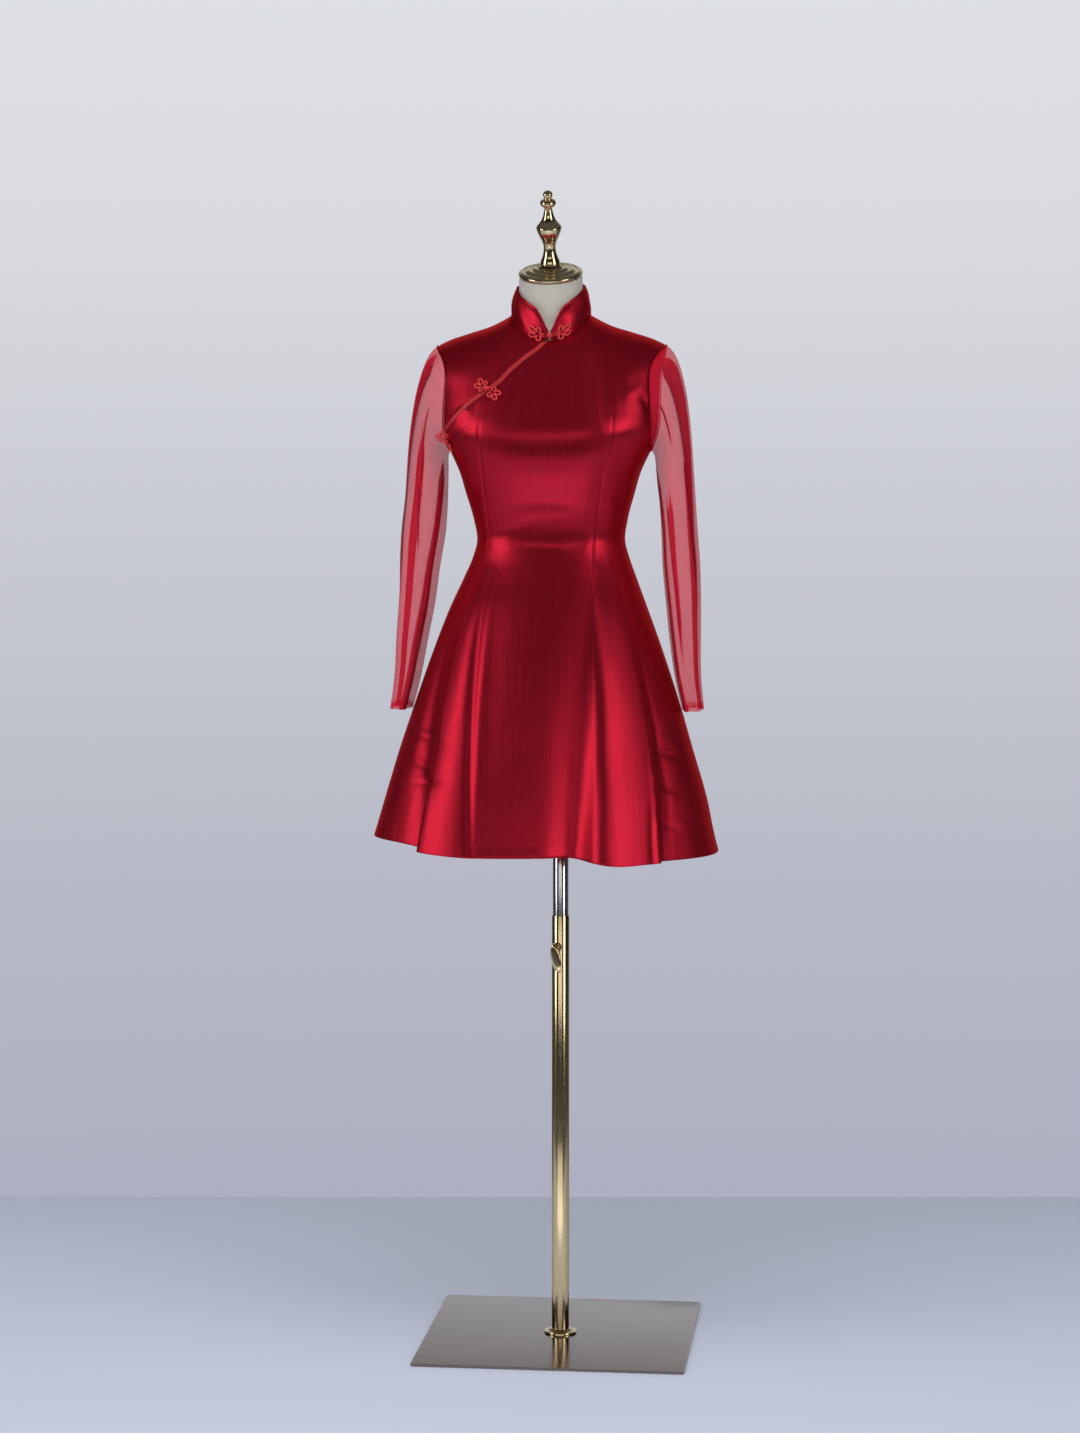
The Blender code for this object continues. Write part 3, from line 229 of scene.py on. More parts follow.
BACK_CREASES = [
    Crease(-0.35, 1.440, -0.38, 1.190, 0.004, 0.0020, -0.0014),
    Crease(0.36, 1.445, 0.39, 1.185, -0.004, 0.0020, -0.0014),
    Crease(-0.46, 1.230, -0.52, 0.600, 0.004, 0.0160, 0.0036, 0.030, True),
    Crease(0.44, 1.235, 0.50, 0.580, -0.003, 0.0300, 0.0040, 0.016, True),
    Crease(-0.02, 1.150, 0.02, 0.640, 0.000, 0.0300, -0.0036),
    Crease(-0.20, 1.268, -0.72, 1.250, 0.004, 0.0080, 0.0008),
    Crease(0.22, 1.262, 0.74, 1.246, -0.004, 0.0080, -0.0008),
    Crease(0.05, 1.290, 0.40, 1.282, 0.003, 0.0070, -0.0006),
    Crease(-0.62, 1.120, -0.70, 0.900, 0.006, 0.0100, 0.0026),
    Crease(0.70, 1.080, 0.76, 0.820, -0.006, 0.0070, -0.0026, 0.0120, True),
    Crease(0.18, 1.080, 0.22, 0.860, 0.004, 0.0100, 0.0022),
    Crease(-0.80, 0.940, -0.62, 0.915, 0.003, 0.0070, -0.0020),
    Crease(0.66, 0.890, 0.82, 0.870, 0.003, 0.0070, 0.0018),
]

# The opening, from the centre of the neckline to the right armhole
OpeningPoint = namedtuple("OpeningPoint", "share height")
OPENING = [
    OpeningPoint(-1.000, 1.422),
    OpeningPoint(-0.830, 1.439),
    OpeningPoint(-0.600, 1.468),
    OpeningPoint(-0.400, 1.490),
    OpeningPoint(-0.270, 1.507),
    OpeningPoint(-0.160, 1.526),
    OpeningPoint(-0.060, 1.555),
    OpeningPoint(0.000, 1.580),
]
UNDERLAP_END = -0.012
BINDING_START = -0.985

# The sleeves, from the armhole down: each row is a level ring of the hanging tube
SleeveRing = namedtuple("SleeveRing", "z right_x right_wide left_x left_wide y deep")
SLEEVE = [
    SleeveRing(0.997, 0.2335, 0.0155, 0.2215, 0.0155, -0.012, 0.0420),
    SleeveRing(1.047, 0.2245, 0.0190, 0.2135, 0.0190, -0.010, 0.0435),
    SleeveRing(1.104, 0.218, 0.0234, 0.209, 0.0228, -0.008, 0.0460),
    SleeveRing(1.160, 0.211, 0.0272, 0.206, 0.0258, -0.006, 0.0485),
    SleeveRing(1.216, 0.206, 0.0298, 0.2025, 0.0278, -0.004, 0.0510),
    SleeveRing(1.273, 0.200, 0.0330, 0.199, 0.0268, -0.002, 0.0530),
    SleeveRing(1.329, 0.1945, 0.0320, 0.195, 0.0275, -0.001, 0.0550),
    SleeveRing(1.372, 0.192, 0.0310, 0.191, 0.0285, 0.000, 0.0560),
]
SLEEVE_GAP = 0.0009
LAP = 3.6

# Sleeve folds: degrees round from the inner side over the front, where they start and end, and how
# wide the net laps over itself at each end
SleeveFold = namedtuple("SleeveFold", "angle to_angle top bottom lap to_lap rise")
RIGHT_FOLDS = [
    SleeveFold(148, 166, 1.560, 1.130, 25.0, 9.0, 0.0024),
    SleeveFold(28, 62, 1.400, 0.997, 9.0, 19.0, 0.0024),
    SleeveFold(97, 93, 1.480, 1.330, 3.6, 2.6, 0.0012),
    SleeveFold(104, 84, 1.350, 1.230, 4.0, 3.0, 0.0014),
    SleeveFold(232, 226, 1.440, 1.000, 12.0, 9.0, 0.0022),
    SleeveFold(300, 292, 1.360, 1.060, 9.0, 12.0, 0.0020),
]
LEFT_FOLDS = [
    SleeveFold(144, 154, 1.560, 1.120, 26.0, 12.0, 0.0024),
    SleeveFold(16, 56, 1.390, 0.997, 8.0, 17.0, 0.0024),
    SleeveFold(62, 84, 1.330, 1.080, 4.0, 4.0, 0.0014),
    SleeveFold(82, 96, 1.500, 1.400, 3.4, 3.0, 0.0012),
    SleeveFold(238, 230, 1.420, 1.010, 11.0, 9.0, 0.0022),
    SleeveFold(304, 294, 1.340, 1.050, 9.0, 11.0, 0.0020),
]

# The stand collar, from the neckline up, and the share of its height left at the front
COLLAR_SIDE = 0.0535
COLLAR_FRONT = 0.061
COLLAR_BACK = 0.047
COLLAR_SIDE_Z = 1.648
COLLAR_FRONT_Z = 1.616
COLLAR_BACK_Z = 1.660
COLLAR_TURN = 4.0
COLLAR_LIFT = 0.0010
CollarCut = namedtuple("CollarCut", "angle share")
COLLAR_CUT = [
    CollarCut(1.5, 0.24),
    CollarCut(6.0, 0.40),
    CollarCut(12.0, 0.64),
    CollarCut(21.0, 0.86),
    CollarCut(34.0, 0.94),
    CollarCut(60.0, 0.98),
    CollarCut(85.0, 1.00),
    CollarCut(180.0, 1.00),
]

# Frog fastenings
BINDING_LIFT = 0.0004
CORD_LIFT = 0.0004
PETAL_NEAR = 0.0012
PETAL_SPREAD = math.radians(27.0)
Petal = namedtuple("Petal", "turn reach")
PETALS = [
    Petal(94.0, 0.0105),
    Petal(34.0, 0.0138),
    Petal(-34.0, 0.0138),
    Petal(-94.0, 0.0105),
]
FROG_HIGH = 0.76
COLLAR_FROG_LONG = 1.15
STRANDS_APART = 0.0040
KNOT = 0.0046
COLLAR_KNOT_SEAT = 0.86
COLLAR_STEM = 0.0125
STEM = 0.0068
FrogPlace = namedtuple("FrogPlace", "share slant size")
KNOT_REACH = 0.012
KNOT_EASE = 0.004
CHEST_FROG = FrogPlace(-0.425, -32.0, 0.96)
UNDERARM_SIZE = 0.74
UNDERARM_KNOT = (-0.925, 1.412)
UNDERARM_DOWN = (-0.800, 1.384)
UNDERARM_UP = (-0.60, -0.34, 0.72)
UNDERARM_FACE = (-0.35, -0.94, 0.0)

# The dress form inside, from its axis
FormRing = namedtuple("FormRing", "z wide front back square")
FORM_UPPER = [
    FormRing(1.515, 0.158, 0.092, 0.099, 2.35),
    FormRing(1.535, 0.145, 0.079, 0.087, 2.25),
    FormRing(1.552, 0.124, 0.068, 0.074, 2.15),
    FormRing(1.568, 0.092, 0.058, 0.062, 2.05),
    FormRing(1.582, 0.068, 0.053, 0.055, 2.00),
    FormRing(1.600, 0.0545, 0.052, 0.050, 2.00),
    FormRing(1.625, 0.0500, 0.053, 0.046, 2.00),
]
FORM_BOTTOM = 0.960
FORM_HIPS = [
    FormRing(0.960, 0.152, 0.098, 0.112, 2.2),
    FormRing(0.985, 0.158, 0.103, 0.120, 2.2),
    FormRing(1.030, 0.161, 0.108, 0.128, 2.2),
    FormRing(1.075, 0.155, 0.108, 0.125, 2.2),
    FormRing(1.120, 0.142, 0.104, 0.114, 2.2),
]
HIP_BLEND = 0.06
FORM_EASE = 0.0050
ARM_PLATE = 0.146

# The neck's top leans forward, and carries the cap and finial
NECK_TOP_Z = 1.664
NECK_TOP_Y = -0.008
NECK_TOP_RADIUS = 0.0485
NECK_LEAN = math.radians(20.0)
TurnedPoint = namedtuple("TurnedPoint", "radius height")
CAP = [
    TurnedPoint(0.0, 0.0165),
    TurnedPoint(0.0170, 0.0160),
    TurnedPoint(0.0185, 0.0138),
    TurnedPoint(0.0205, 0.0128),
    TurnedPoint(0.0235, 0.0136),
    TurnedPoint(0.0265, 0.0126),
    TurnedPoint(0.0285, 0.0108),
    TurnedPoint(0.0330, 0.0112),
    TurnedPoint(0.0375, 0.0096),
    TurnedPoint(0.0395, 0.0078),
    TurnedPoint(0.0430, 0.0084),
    TurnedPoint(0.0470, 0.0075),
    TurnedPoint(0.0497, 0.0050),
    TurnedPoint(0.0490, 0.0015),
    TurnedPoint(0.0470, 0.0),
    TurnedPoint(0.0, 0.0),
]
FINIAL = [
    TurnedPoint(0.0, 0.1170),
    TurnedPoint(0.0045, 0.1155),
    TurnedPoint(0.0075, 0.1105),
    TurnedPoint(0.0062, 0.1060),
    TurnedPoint(0.0055, 0.1045),
    TurnedPoint(0.0108, 0.1015),
    TurnedPoint(0.0124, 0.0975),
    TurnedPoint(0.0105, 0.0930),
    TurnedPoint(0.0062, 0.0895),
    TurnedPoint(0.0070, 0.0840),
    TurnedPoint(0.0110, 0.0715),
    TurnedPoint(0.0168, 0.0640),
    TurnedPoint(0.0196, 0.0600),
    TurnedPoint(0.0192, 0.0560),
    TurnedPoint(0.0160, 0.0470),
    TurnedPoint(0.0112, 0.0370),
    TurnedPoint(0.0093, 0.0290),
    TurnedPoint(0.0104, 0.0190),
    TurnedPoint(0.0118, 0.0135),
    TurnedPoint(0.0145, 0.0070),
    TurnedPoint(0.0155, 0.0030),
    TurnedPoint(0.0150, 0.0),
    TurnedPoint(0.0, 0.0),
]

# The stand
PLATE_SIDE = 0.420
PLATE_THICK = 0.004
PLATE_CORNER = 0.006
LOWER_TUBE_RADIUS = 0.0140
LOWER_TUBE_WALL = 0.0011
LOWER_TUBE_TOP = 0.6695
MAST_RADIUS = 0.0125
MAST_WALL = 0.0012
MAST_BOTTOM = 0.330
SOCKET_RADIUS = 0.028
SOCKET_DEPTH = 0.030
SOCKET_PLATE_RADIUS = 0.050
SOCKET_PLATE = 0.004
FLANGE_RADIUS = 0.026
CLAMP_Z = 0.6205
CLAMP_TURN = math.radians(-14.0)
BOSS_RADIUS = 0.0075
BOSS_LENGTH = 0.0070
SCREW_RADIUS = 0.0035
SCREW_LENGTH = 0.010
HANDLE_LENGTH = 0.045
HANDLE_WIDTH = 0.017
HANDLE_THICK = 0.0045
HANDLE_LEAN = math.radians(12.0)

# The camera, as the photograph was taken
CAMERA_TURN = math.radians(6.266)
CAMERA_DISTANCE = 5.0
CAMERA_HEIGHT = 1.356
CAMERA_PITCH = math.radians(4.279)
CAMERA_ASIDE = -0.0325
CAMERA_LENS = 53.75
FLOOR_HALF = 9.0
FLOOR_BACK = 0.97
FLOOR_FRONT = 2.5

# How bright the studio is round the camera, by height of view, beside the backdrop's colour
FRONT_LIGHT = [
    (-0.10, 0.06),
    (0.00, 0.12),
    (0.12, 0.02),
    (0.46, 0.02),
    (0.58, 0.16),
    (1.00, 0.16),
]

# The backdrop behind the dress, by height of view: pale at the top and darker toward the floor, as painted
# shade on the wall
BACKDROP = [
    (-0.22, (0.42, 0.43, 0.53)),
    (-0.12, (0.48, 0.49, 0.57)),
    (-0.02, (0.58, 0.59, 0.65)),
    (0.08, (0.70, 0.71, 0.75)),
    (0.16, (0.73, 0.75, 0.78)),
]

AXIS = np.array([FORM_X, FORM_Y, 0.0])


def length_property(name, description, default, precision=4):
    """A length that a maker can set."""
    return FloatProperty(
        name=name, description=description, default=default, unit="LENGTH", precision=precision
    )


def colour_property(name, description, default):
    """A colour that a maker can set."""
    return FloatVectorProperty(
        name=name, description=description, default=default, subtype="COLOR", min=0.0, max=1.0
    )


def power_property(name, description, default):
    """The power of a light that a maker can set."""
    return FloatProperty(name=name, description=description, default=default, subtype="POWER", min=0.0)


class CheongsamSizes(PropertyGroup):
    """Sizes of the cloth and its trimmings."""

    satin_wall: length_property("Satin thickness", "Thickness of the satin with its lining", 0.0012)
    net_wall: length_property("Net thickness", "Thickness of the sheer sleeve's net", 0.0004)
    collar_wall: length_property("Collar thickness", "Thickness of the stiffened stand collar", 0.0018)
    crease: FloatProperty(
        name="Crease depth",
        description="How deep the creases are beside the photographed ones",
        default=1.0,
        subtype="FACTOR",
        min=0.0,
        max=2.0,
    )
    binding_width: length_property("Binding width", "Width of the bias strip on the opening", 0.0075)
    cord: length_property("Frog cord", "Thickness of the cord that the frogs are looped from", 0.0031)
    cuff_hem: length_property("Cuff hem", "Depth of the turned hem at each cuff", 0.009)
    stitch_step: length_property("Stitch step", "Distance from one stitch to the next", 0.0030)
    stitch_length: length_property("Stitch length", "Length of one visible stitch", 0.0021)
    thread: length_property("Thread", "Thickness of the sewing thread", 0.00035, 5)
    columns: IntProperty(
        name="Columns",
        description="Columns of cloth across the front and across the back",
        default=200,
        min=40,
        max=260,
    )


class CheongsamColours(PropertyGroup):
    """Colours of the finishes."""

    satin: colour_property("Satin", "Colour of the dress satin", (0.51, 0.014, 0.034))
    # The net's colour is painted brighter than its own red, as painted light for the light that passes
    # through the net
    net: colour_property("Net", "Colour of the sheer sleeves", (0.90, 0.020, 0.058))
    trim: colour_property("Trim", "Colour of the binding", (0.52, 0.024, 0.032))
    # The cord's colour is the binding's satin painted brighter, as painted highlight on the rounded cord
    cord: colour_property("Cord", "Colour of the frogs' satin cord", (0.82, 0.055, 0.060))
    jersey: colour_property("Jersey", "Colour of the dress form's cover", (0.56, 0.53, 0.46))
    gold: colour_property("Gold plate", "Colour of the cap, finial and lower tube", (0.70, 0.55, 0.32))
    steel: colour_property("Steel", "Colour of the polished mast and socket", (0.52, 0.52, 0.53))
    plate: colour_property("Base plate", "Colour of the tinted base plate", (0.25, 0.208, 0.190))


class CheongsamStage(PropertyGroup):
    """The studio round the dress."""

    floor: colour_property("Floor", "Colour of the floor", (0.76, 0.82, 0.99))
    room: colour_property("Room", "Colour of the room behind the dress", (0.62, 0.64, 0.68))
    fill_power: power_property("Fill light", "Power of the overhead fill in watts", 74.0)
    key_power: power_property("Key light", "Power of the front window light in watts", 17.0)
    window_power: power_property("Window lights", "Power of each side window light in watts", 36.0)
    low_power: power_property("Low light", "Power of the low front light in watts", 1.8)


def sizes():
    return bpy.context.scene.cheongsam_sizes


def colours():
    return bpy.context.scene.cheongsam_colours


# The form of the cloth, on whole arrays of lines and heights at once


def column(table, key, value, name):
    """The named column of a table where its key column has these values, on one smooth curve."""
    keys = np.array([getattr(row, key) for row in table])
    values = np.array([getattr(row, name) for row in table])
    slopes = np.gradient(values, keys)
    value = np.asarray(value, dtype=float)
    i = np.clip(np.searchsorted(keys, value) - 1, 0, len(keys) - 2)
    step = keys[i + 1] - keys[i]
    t = np.clip((value - keys[i]) / step, 0.0, 1.0)
    ease = t * t * (3 - 2 * t)
    bend_in = t * (1 - t) ** 2 * step * slopes[i]
    bend_out = t * t * (1 - t) * step * slopes[i + 1]
    return values[i] * (1 - ease) + values[i + 1] * ease + bend_in - bend_out


def body(z, name):
    return column(BODY, "z", z, name)


def flared(line, z, side):
    """Where a line of cloth has got to across the body at this height, as a share."""
    table = FRONT_FLARE if side < 0 else BACK_FLARE
    hem = np.interp(line, [row.waist for row in table], [row.hem for row in table])
    down = np.clip((WAIST - z) / (WAIST - HEM), 0.0, None) ** FLARE_POWER
    return line + (hem - line) * down


def fold_lift(line, z, side):
    """How far the skirt's folds move the cloth out on this line."""
    lift = np.zeros(np.broadcast(line, z).shape)
    for fold in FRONT_FOLDS if side < 0 else BACK_FOLDS:
        down = np.clip((fold.starts - z) / (fold.starts - HEM), 0.0, None) ** FOLD_GROWTH
        width = np.where(line > fold.line, fold.toward_left, fold.toward_right)
        lift = lift + fold.height * down * np.exp(-(((line - fold.line) / width) ** 2))
    return lift * (1 - np.abs(line) ** 12)


def ring_point(line, z, side):
    """Points of the dress up to the chest. line runs -1 to 1 across, and side is -1 front, 1 back."""
    share = flared(line, z, side)
    reach = np.where(z <= UNDERARM, 90.0, column(ARMHOLE, "z", z, "front" if side < 0 else "back"))
    angle = np.radians(np.abs(share) * reach)
    wide = np.where(share < 0, body(z, "right"), body(z, "left"))
    deep = body(z, "front" if side < 0 else "back")
    power = 2 / body(z, "front_square" if side < 0 else "back_square")
    x = np.copysign(wide * np.sin(angle) ** power, share)
    y = side * deep * np.clip(np.cos(angle), 0.0, None) ** power
    lift = 1 + fold_lift(line, z, side) / np.hypot(x, y)
    return np.stack([x * lift, y * lift, z + 0.0 * x], axis=-1)


def neck_point(degrees):
    """The neckline at these degrees round from centre front, positive to the wearer's left."""
    a = np.radians(degrees)
    front = np.cos(a) > 0
    y = -np.cos(a) * np.where(front, NECK_FRONT, NECK_BACK)
    rise = np.where(front, NECK_FRONT_Z, NECK_BACK_Z) - SHOULDER[0].z
    z = SHOULDER[0].z + rise * np.abs(np.cos(a)) ** 1.6
    return np.stack([NECK_SIDE * np.sin(a), y, z], axis=-1)


def top_point(share, side):
    """Where a column ends: on the neckline near the middle, and on the shoulder seam beyond it."""
    reach = np.abs(share)
    turn = 90.0 * share / NECK_SHARE
    neck = neck_point(turn if side < 0 else 180.0 - turn)
    along = np.clip((reach - NECK_SHARE) / (1 - NECK_SHARE), 0.0, 1.0)
    x = SHOULDER[0].x + (SHOULDER[-1].x - SHOULDER[0].x) * along
    y, z = column(SHOULDER, "x", x, "y"), column(SHOULDER, "x", x, "z")
    shoulder = np.stack([np.copysign(x, share), y, z], axis=-1)
    return np.where((reach <= NECK_SHARE)[..., None], neck, shoulder)


def unit(vectors):
    return vectors / np.maximum(np.linalg.norm(vectors, axis=-1, keepdims=True), 1e-12)


def bezier(a, b, c, d, t):
    t = np.asarray(t)[..., None]
    return a * (1 - t) ** 3 + b * 3 * t * (1 - t) ** 2 + c * 3 * t * t * (1 - t) + d * t**3


def shell_point(share, height, side):
    """Points of the dress. height is Z up to the chest, and from there it runs on to the top edge."""
    share, height = np.broadcast_arrays(np.asarray(share, float), np.asarray(height, float))
    low = ring_point(share, np.minimum(height, CHEST), side)
    start = ring_point(share, np.full(share.shape, CHEST), side)
    below = ring_point(share, np.full(share.shape, CHEST - 0.006), side)
    end = top_point(share, side)
    reach = np.linalg.norm(end - start, axis=-1, keepdims=True) * 0.40
    middle = 1 - np.minimum(1.0, np.abs(share) / NECK_SHARE)
    steep = 0.80 if side < 0 else 0.85
    rise = 0.22 + (steep - 0.22) * middle**0.8
    last = unit(np.stack([0 * rise, -side + 0 * rise, rise], axis=-1))
    t = np.clip((height - CHEST) / (TOP - CHEST), 0.0, 1.0)
    high = bezier(start, start + unit(start - below) * reach, end - last * reach, end, t)
    return np.where((height <= CHEST)[..., None], low, high)


def shell_frame(share, height, side):
    """Points, and their steps across, up and out of the cloth."""
    d = 0.002
    up_at = np.minimum(height, TOP - d)
    here = shell_point(share, height, side)
    across = shell_point(share + d, height, side) - shell_point(share - d, height, side)
    up = shell_point(share, up_at + d, side) - shell_point(share, up_at - d, side)
    return here, across / (2 * d), up / (2 * d), unit(np.cross(across, up) * -side)


def round_share(height, side):
    """How far round from centre to side the cloth reaches, which the armhole cuts short."""
    reach = column(ARMHOLE, "z", np.clip(height, UNDERARM, CHEST), "front" if side < 0 else "back")
    return np.where(height <= UNDERARM, 1.0, reach / 90.0)


def half_girth(height):
    """Rough length of cloth from the centre to the side, which turns a share into metres."""
    return 1.25 * np.maximum(body(np.minimum(height, CHEST), "left"), 0.10)


def hem_height(line, side):
    table = HEM_FRONT if side < 0 else HEM_BACK
    share = flared(line, np.full(np.shape(line), HEM), side)
    right = column(table, "share", np.abs(share), "right")
    left = column(table, "share", np.abs(share), "left")
    return np.where(share < 0, right, left)


def opening_height(share):
    return column(OPENING, "share", share, "height")


def opening_clear(share):
    """Half the gap at the opening, as a step of height that keeps it even on the slant."""
    here, across, up, out = shell_frame(share, opening_height(share), -1)
    low, high = np.maximum(share - 0.002, -1.0), np.minimum(share + 0.002, 0.0)
    slope = (opening_height(high) - opening_height(low)) / (high - low)
    along = across + up * slope[..., None]
    clear = np.linalg.norm(along, axis=-1) / np.linalg.norm(np.cross(up, across), axis=-1)
    return OPENING_GAP / 2 * clear


def crease_lift(creases, line, height):
    """How far the creases lift or sink the cloth."""
    lift = np.zeros(line.shape)
    for c in creases:
        scale = half_girth((c.height + c.to_height) / 2) * 1.25
        run_x, run_z = (c.to_line - c.line) * scale, c.to_height - c.height
        length = math.hypot(run_x, run_z)
        x, z = (line - c.line) * scale, height - c.height
        t = np.clip((x * run_x + z * run_z) / length**2, 0.0, 1.0)
        aside = math.copysign(1.0, run_z) * (x * run_z - z * run_x) / length - c.bow * 4 * t * (1 - t)
        past = (x * run_x + z * run_z) / length - t * length
        fade = np.sin(np.pi * np.clip(t, 0.02, 0.98)) ** 0.6
        near = np.abs(aside) / np.where(aside > 0, c.beyond or c.width, c.width)
        lift += c.depth * fade * np.exp(-(near ** (1 if c.sharp else 2)) - (past / c.width) ** 2)
    return lift * sizes().crease


# Meshes


def placed(name, mesh):
    """A mesh as an object in the scene."""
    obj = bpy.data.objects.new(name, mesh)
    bpy.context.scene.collection.objects.link(obj)
    return obj


def grid_object(name, points, uv, closed=False, flip=False):
    """A smooth cloth mesh through rows of points. uv has one more column than a closed grid."""
    rows, wide = points.shape[:2]
    r, c = np.meshgrid(np.arange(rows - 1), np.arange(wide if closed else wide - 1), indexing="ij")
    n = (c + 1) % wide
    corners = [(r, c, c), (r, n, c + 1), (r + 1, n, c + 1), (r + 1, c, c)]
    if flip:
        corners.reverse()
    faces = np.stack([a * wide + b for a, b, _ in corners], axis=-1).reshape(-1, 4)
    places = np.stack([uv[a, b] for a, _, b in corners], axis=-2).reshape(-1, 2)
    mesh = bpy.data.meshes.new(name)
    mesh.from_pydata((points + AXIS).reshape(-1, 3).tolist(), [], faces.tolist())
    mesh.uv_layers.new(name="cloth").uv.foreach_set("vector", places.ravel().astype(np.float32))
    mesh.shade_smooth()
    return placed(name, mesh)


def normals_of(points, closed=False):
    """Unit normals of a grid of points, from its rows and columns."""
    if closed:
        wrapped = np.concatenate([points[:, -1:], points, points[:, :1]], axis=1)
        across = np.gradient(wrapped, axis=1)[:, 1:-1]
    else:
        across = np.gradient(points, axis=1)
    return unit(np.cross(across, np.gradient(points, axis=0)))


def lengths(points):
    """The UV map of a grid in metres: across its middle row, and down each column."""
    middle = points[len(points) // 2]
    u = np.concatenate([[0.0], np.cumsum(np.linalg.norm(np.diff(middle, axis=0), axis=1))])
    v = np.cumsum(np.linalg.norm(np.diff(points, axis=0), axis=2), axis=0)
    v = np.concatenate([np.zeros((1, points.shape[1])), v])
    return np.stack([np.broadcast_to(u - u.mean(), v.shape), v], axis=-1)


def walled(obj, wall, material, round_edges=True):
    """Gives cloth its thickness on the inside, softly rounded at its cut edges."""
    obj.data.materials.append(material)
    grown = obj.modifiers.new("wall", "SOLIDIFY")
    grown.thickness = wall
    grown.offset = -1.0
    grown.use_even_offset = False
    if round_edges:
        soft = obj.modifiers.new("edge", "BEVEL")
        soft.width = wall * 0.32
        soft.segments = 2
        soft.limit_method = "ANGLE"
        soft.angle_limit = math.radians(50)
        soft.harden_normals = False
    return obj


def spaced(low, high, count, power=1.0):
    return low + (high - low) * np.linspace(0.0, 1.0, count) ** power


def panel(name, lines, bottom, top, side, creases, lower=140, upper=44):
    """A panel of the dress, from each line's bottom height to its top height."""
    bend = np.clip(np.maximum(bottom, UNDERARM), None, top)
    low = bottom + (bend - bottom) * np.linspace(0.0, 1.0, lower)[:, None]
    high = bend + (top - bend) * spaced(0.0, 1.0, upper, 1.25)[1:, None]
    height = low if np.allclose(top, bend) else np.concatenate([low, high])
    if np.allclose(bottom, bend):
        height = bottom + (top - bottom) * np.linspace(0.0, 1.0, upper)[:, None]
    line = np.broadcast_to(lines, height.shape)
    clear = 1.0 - SEAM_GAP / 2 / half_girth(bottom)
    points = shell_point(line * clear, height, side)
    out = normals_of(points) * (1 if side < 0 else -1)
    lift = crease_lift(creases, line * round_share(height, side), height)
    lift -= 0.0009 * np.exp(-(((1 - np.abs(line)) * half_girth(height) / 0.0022) ** 2))
    above_hem = height - hem_height(lines, side)
    lift -= 0.0004 * np.exp(-(((above_hem - 0.016) / 0.0016) ** 2))
    points = points + out * lift[..., None]
    obj = grid_object(name, points, lengths(points), flip=side > 0)
    return walled(obj, sizes().satin_wall, satin())


# Materials


def new_material(name):
    """A node material, with its tree and its shader."""
    material = bpy.data.materials.new(name)
    material.use_nodes = True
    tree = material.node_tree
    return material, tree, tree.nodes["Principled BSDF"]


def add(tree, kind, **settings):
    """A node with its settings. Names of inputs have spaces written as underscores."""
    node = tree.nodes.new(kind)
    for key, value in settings.items():
        if hasattr(node, key):
            setattr(node, key, value)
        else:
            node.inputs[key.replace("_", " ")].default_value = value
    return node


def link(tree, out, into):
    tree.links.new(out, into)


def coordinates(tree, kind, scale):
    """Object or UV coordinates, stretched by a scale."""
    source = add(tree, "ShaderNodeTexCoord")
    mapping = add(tree, "ShaderNodeMapping")
    mapping.inputs["Scale"].default_value = scale
    link(tree, source.outputs[kind], mapping.inputs["Vector"])
    return mapping.outputs["Vector"]


def bump(tree, height, strength, distance, under=None):
    node = add(tree, "ShaderNodeBump")
    node.inputs["Strength"].default_value = strength
    node.inputs["Distance"].default_value = distance
    link(tree, height, node.inputs["Height"])
    if under is not None:
        link(tree, under, node.inputs["Normal"])
    return node.outputs["Normal"]


def ramp(tree, factor, stops):
    """A colour ramp from (place, colour) stops."""
    node = add(tree, "ShaderNodeValToRGB")
    elements = node.color_ramp.elements
    while len(elements) < len(stops):
        elements.new(0.5)
    for element, (place, colour) in zip(elements, stops):
        element.position = place
        element.color = (*colour, 1.0)
    link(tree, factor, node.inputs["Fac"])
    return node.outputs["Color"]


def shade(colour, by):
    return tuple(min(1.0, c * by) for c in colour)


def known(name, make):
    """The material of this name, made once."""
    return bpy.data.materials.get(name) or make(name)


def satin():
    return known("satin_red", make_satin)


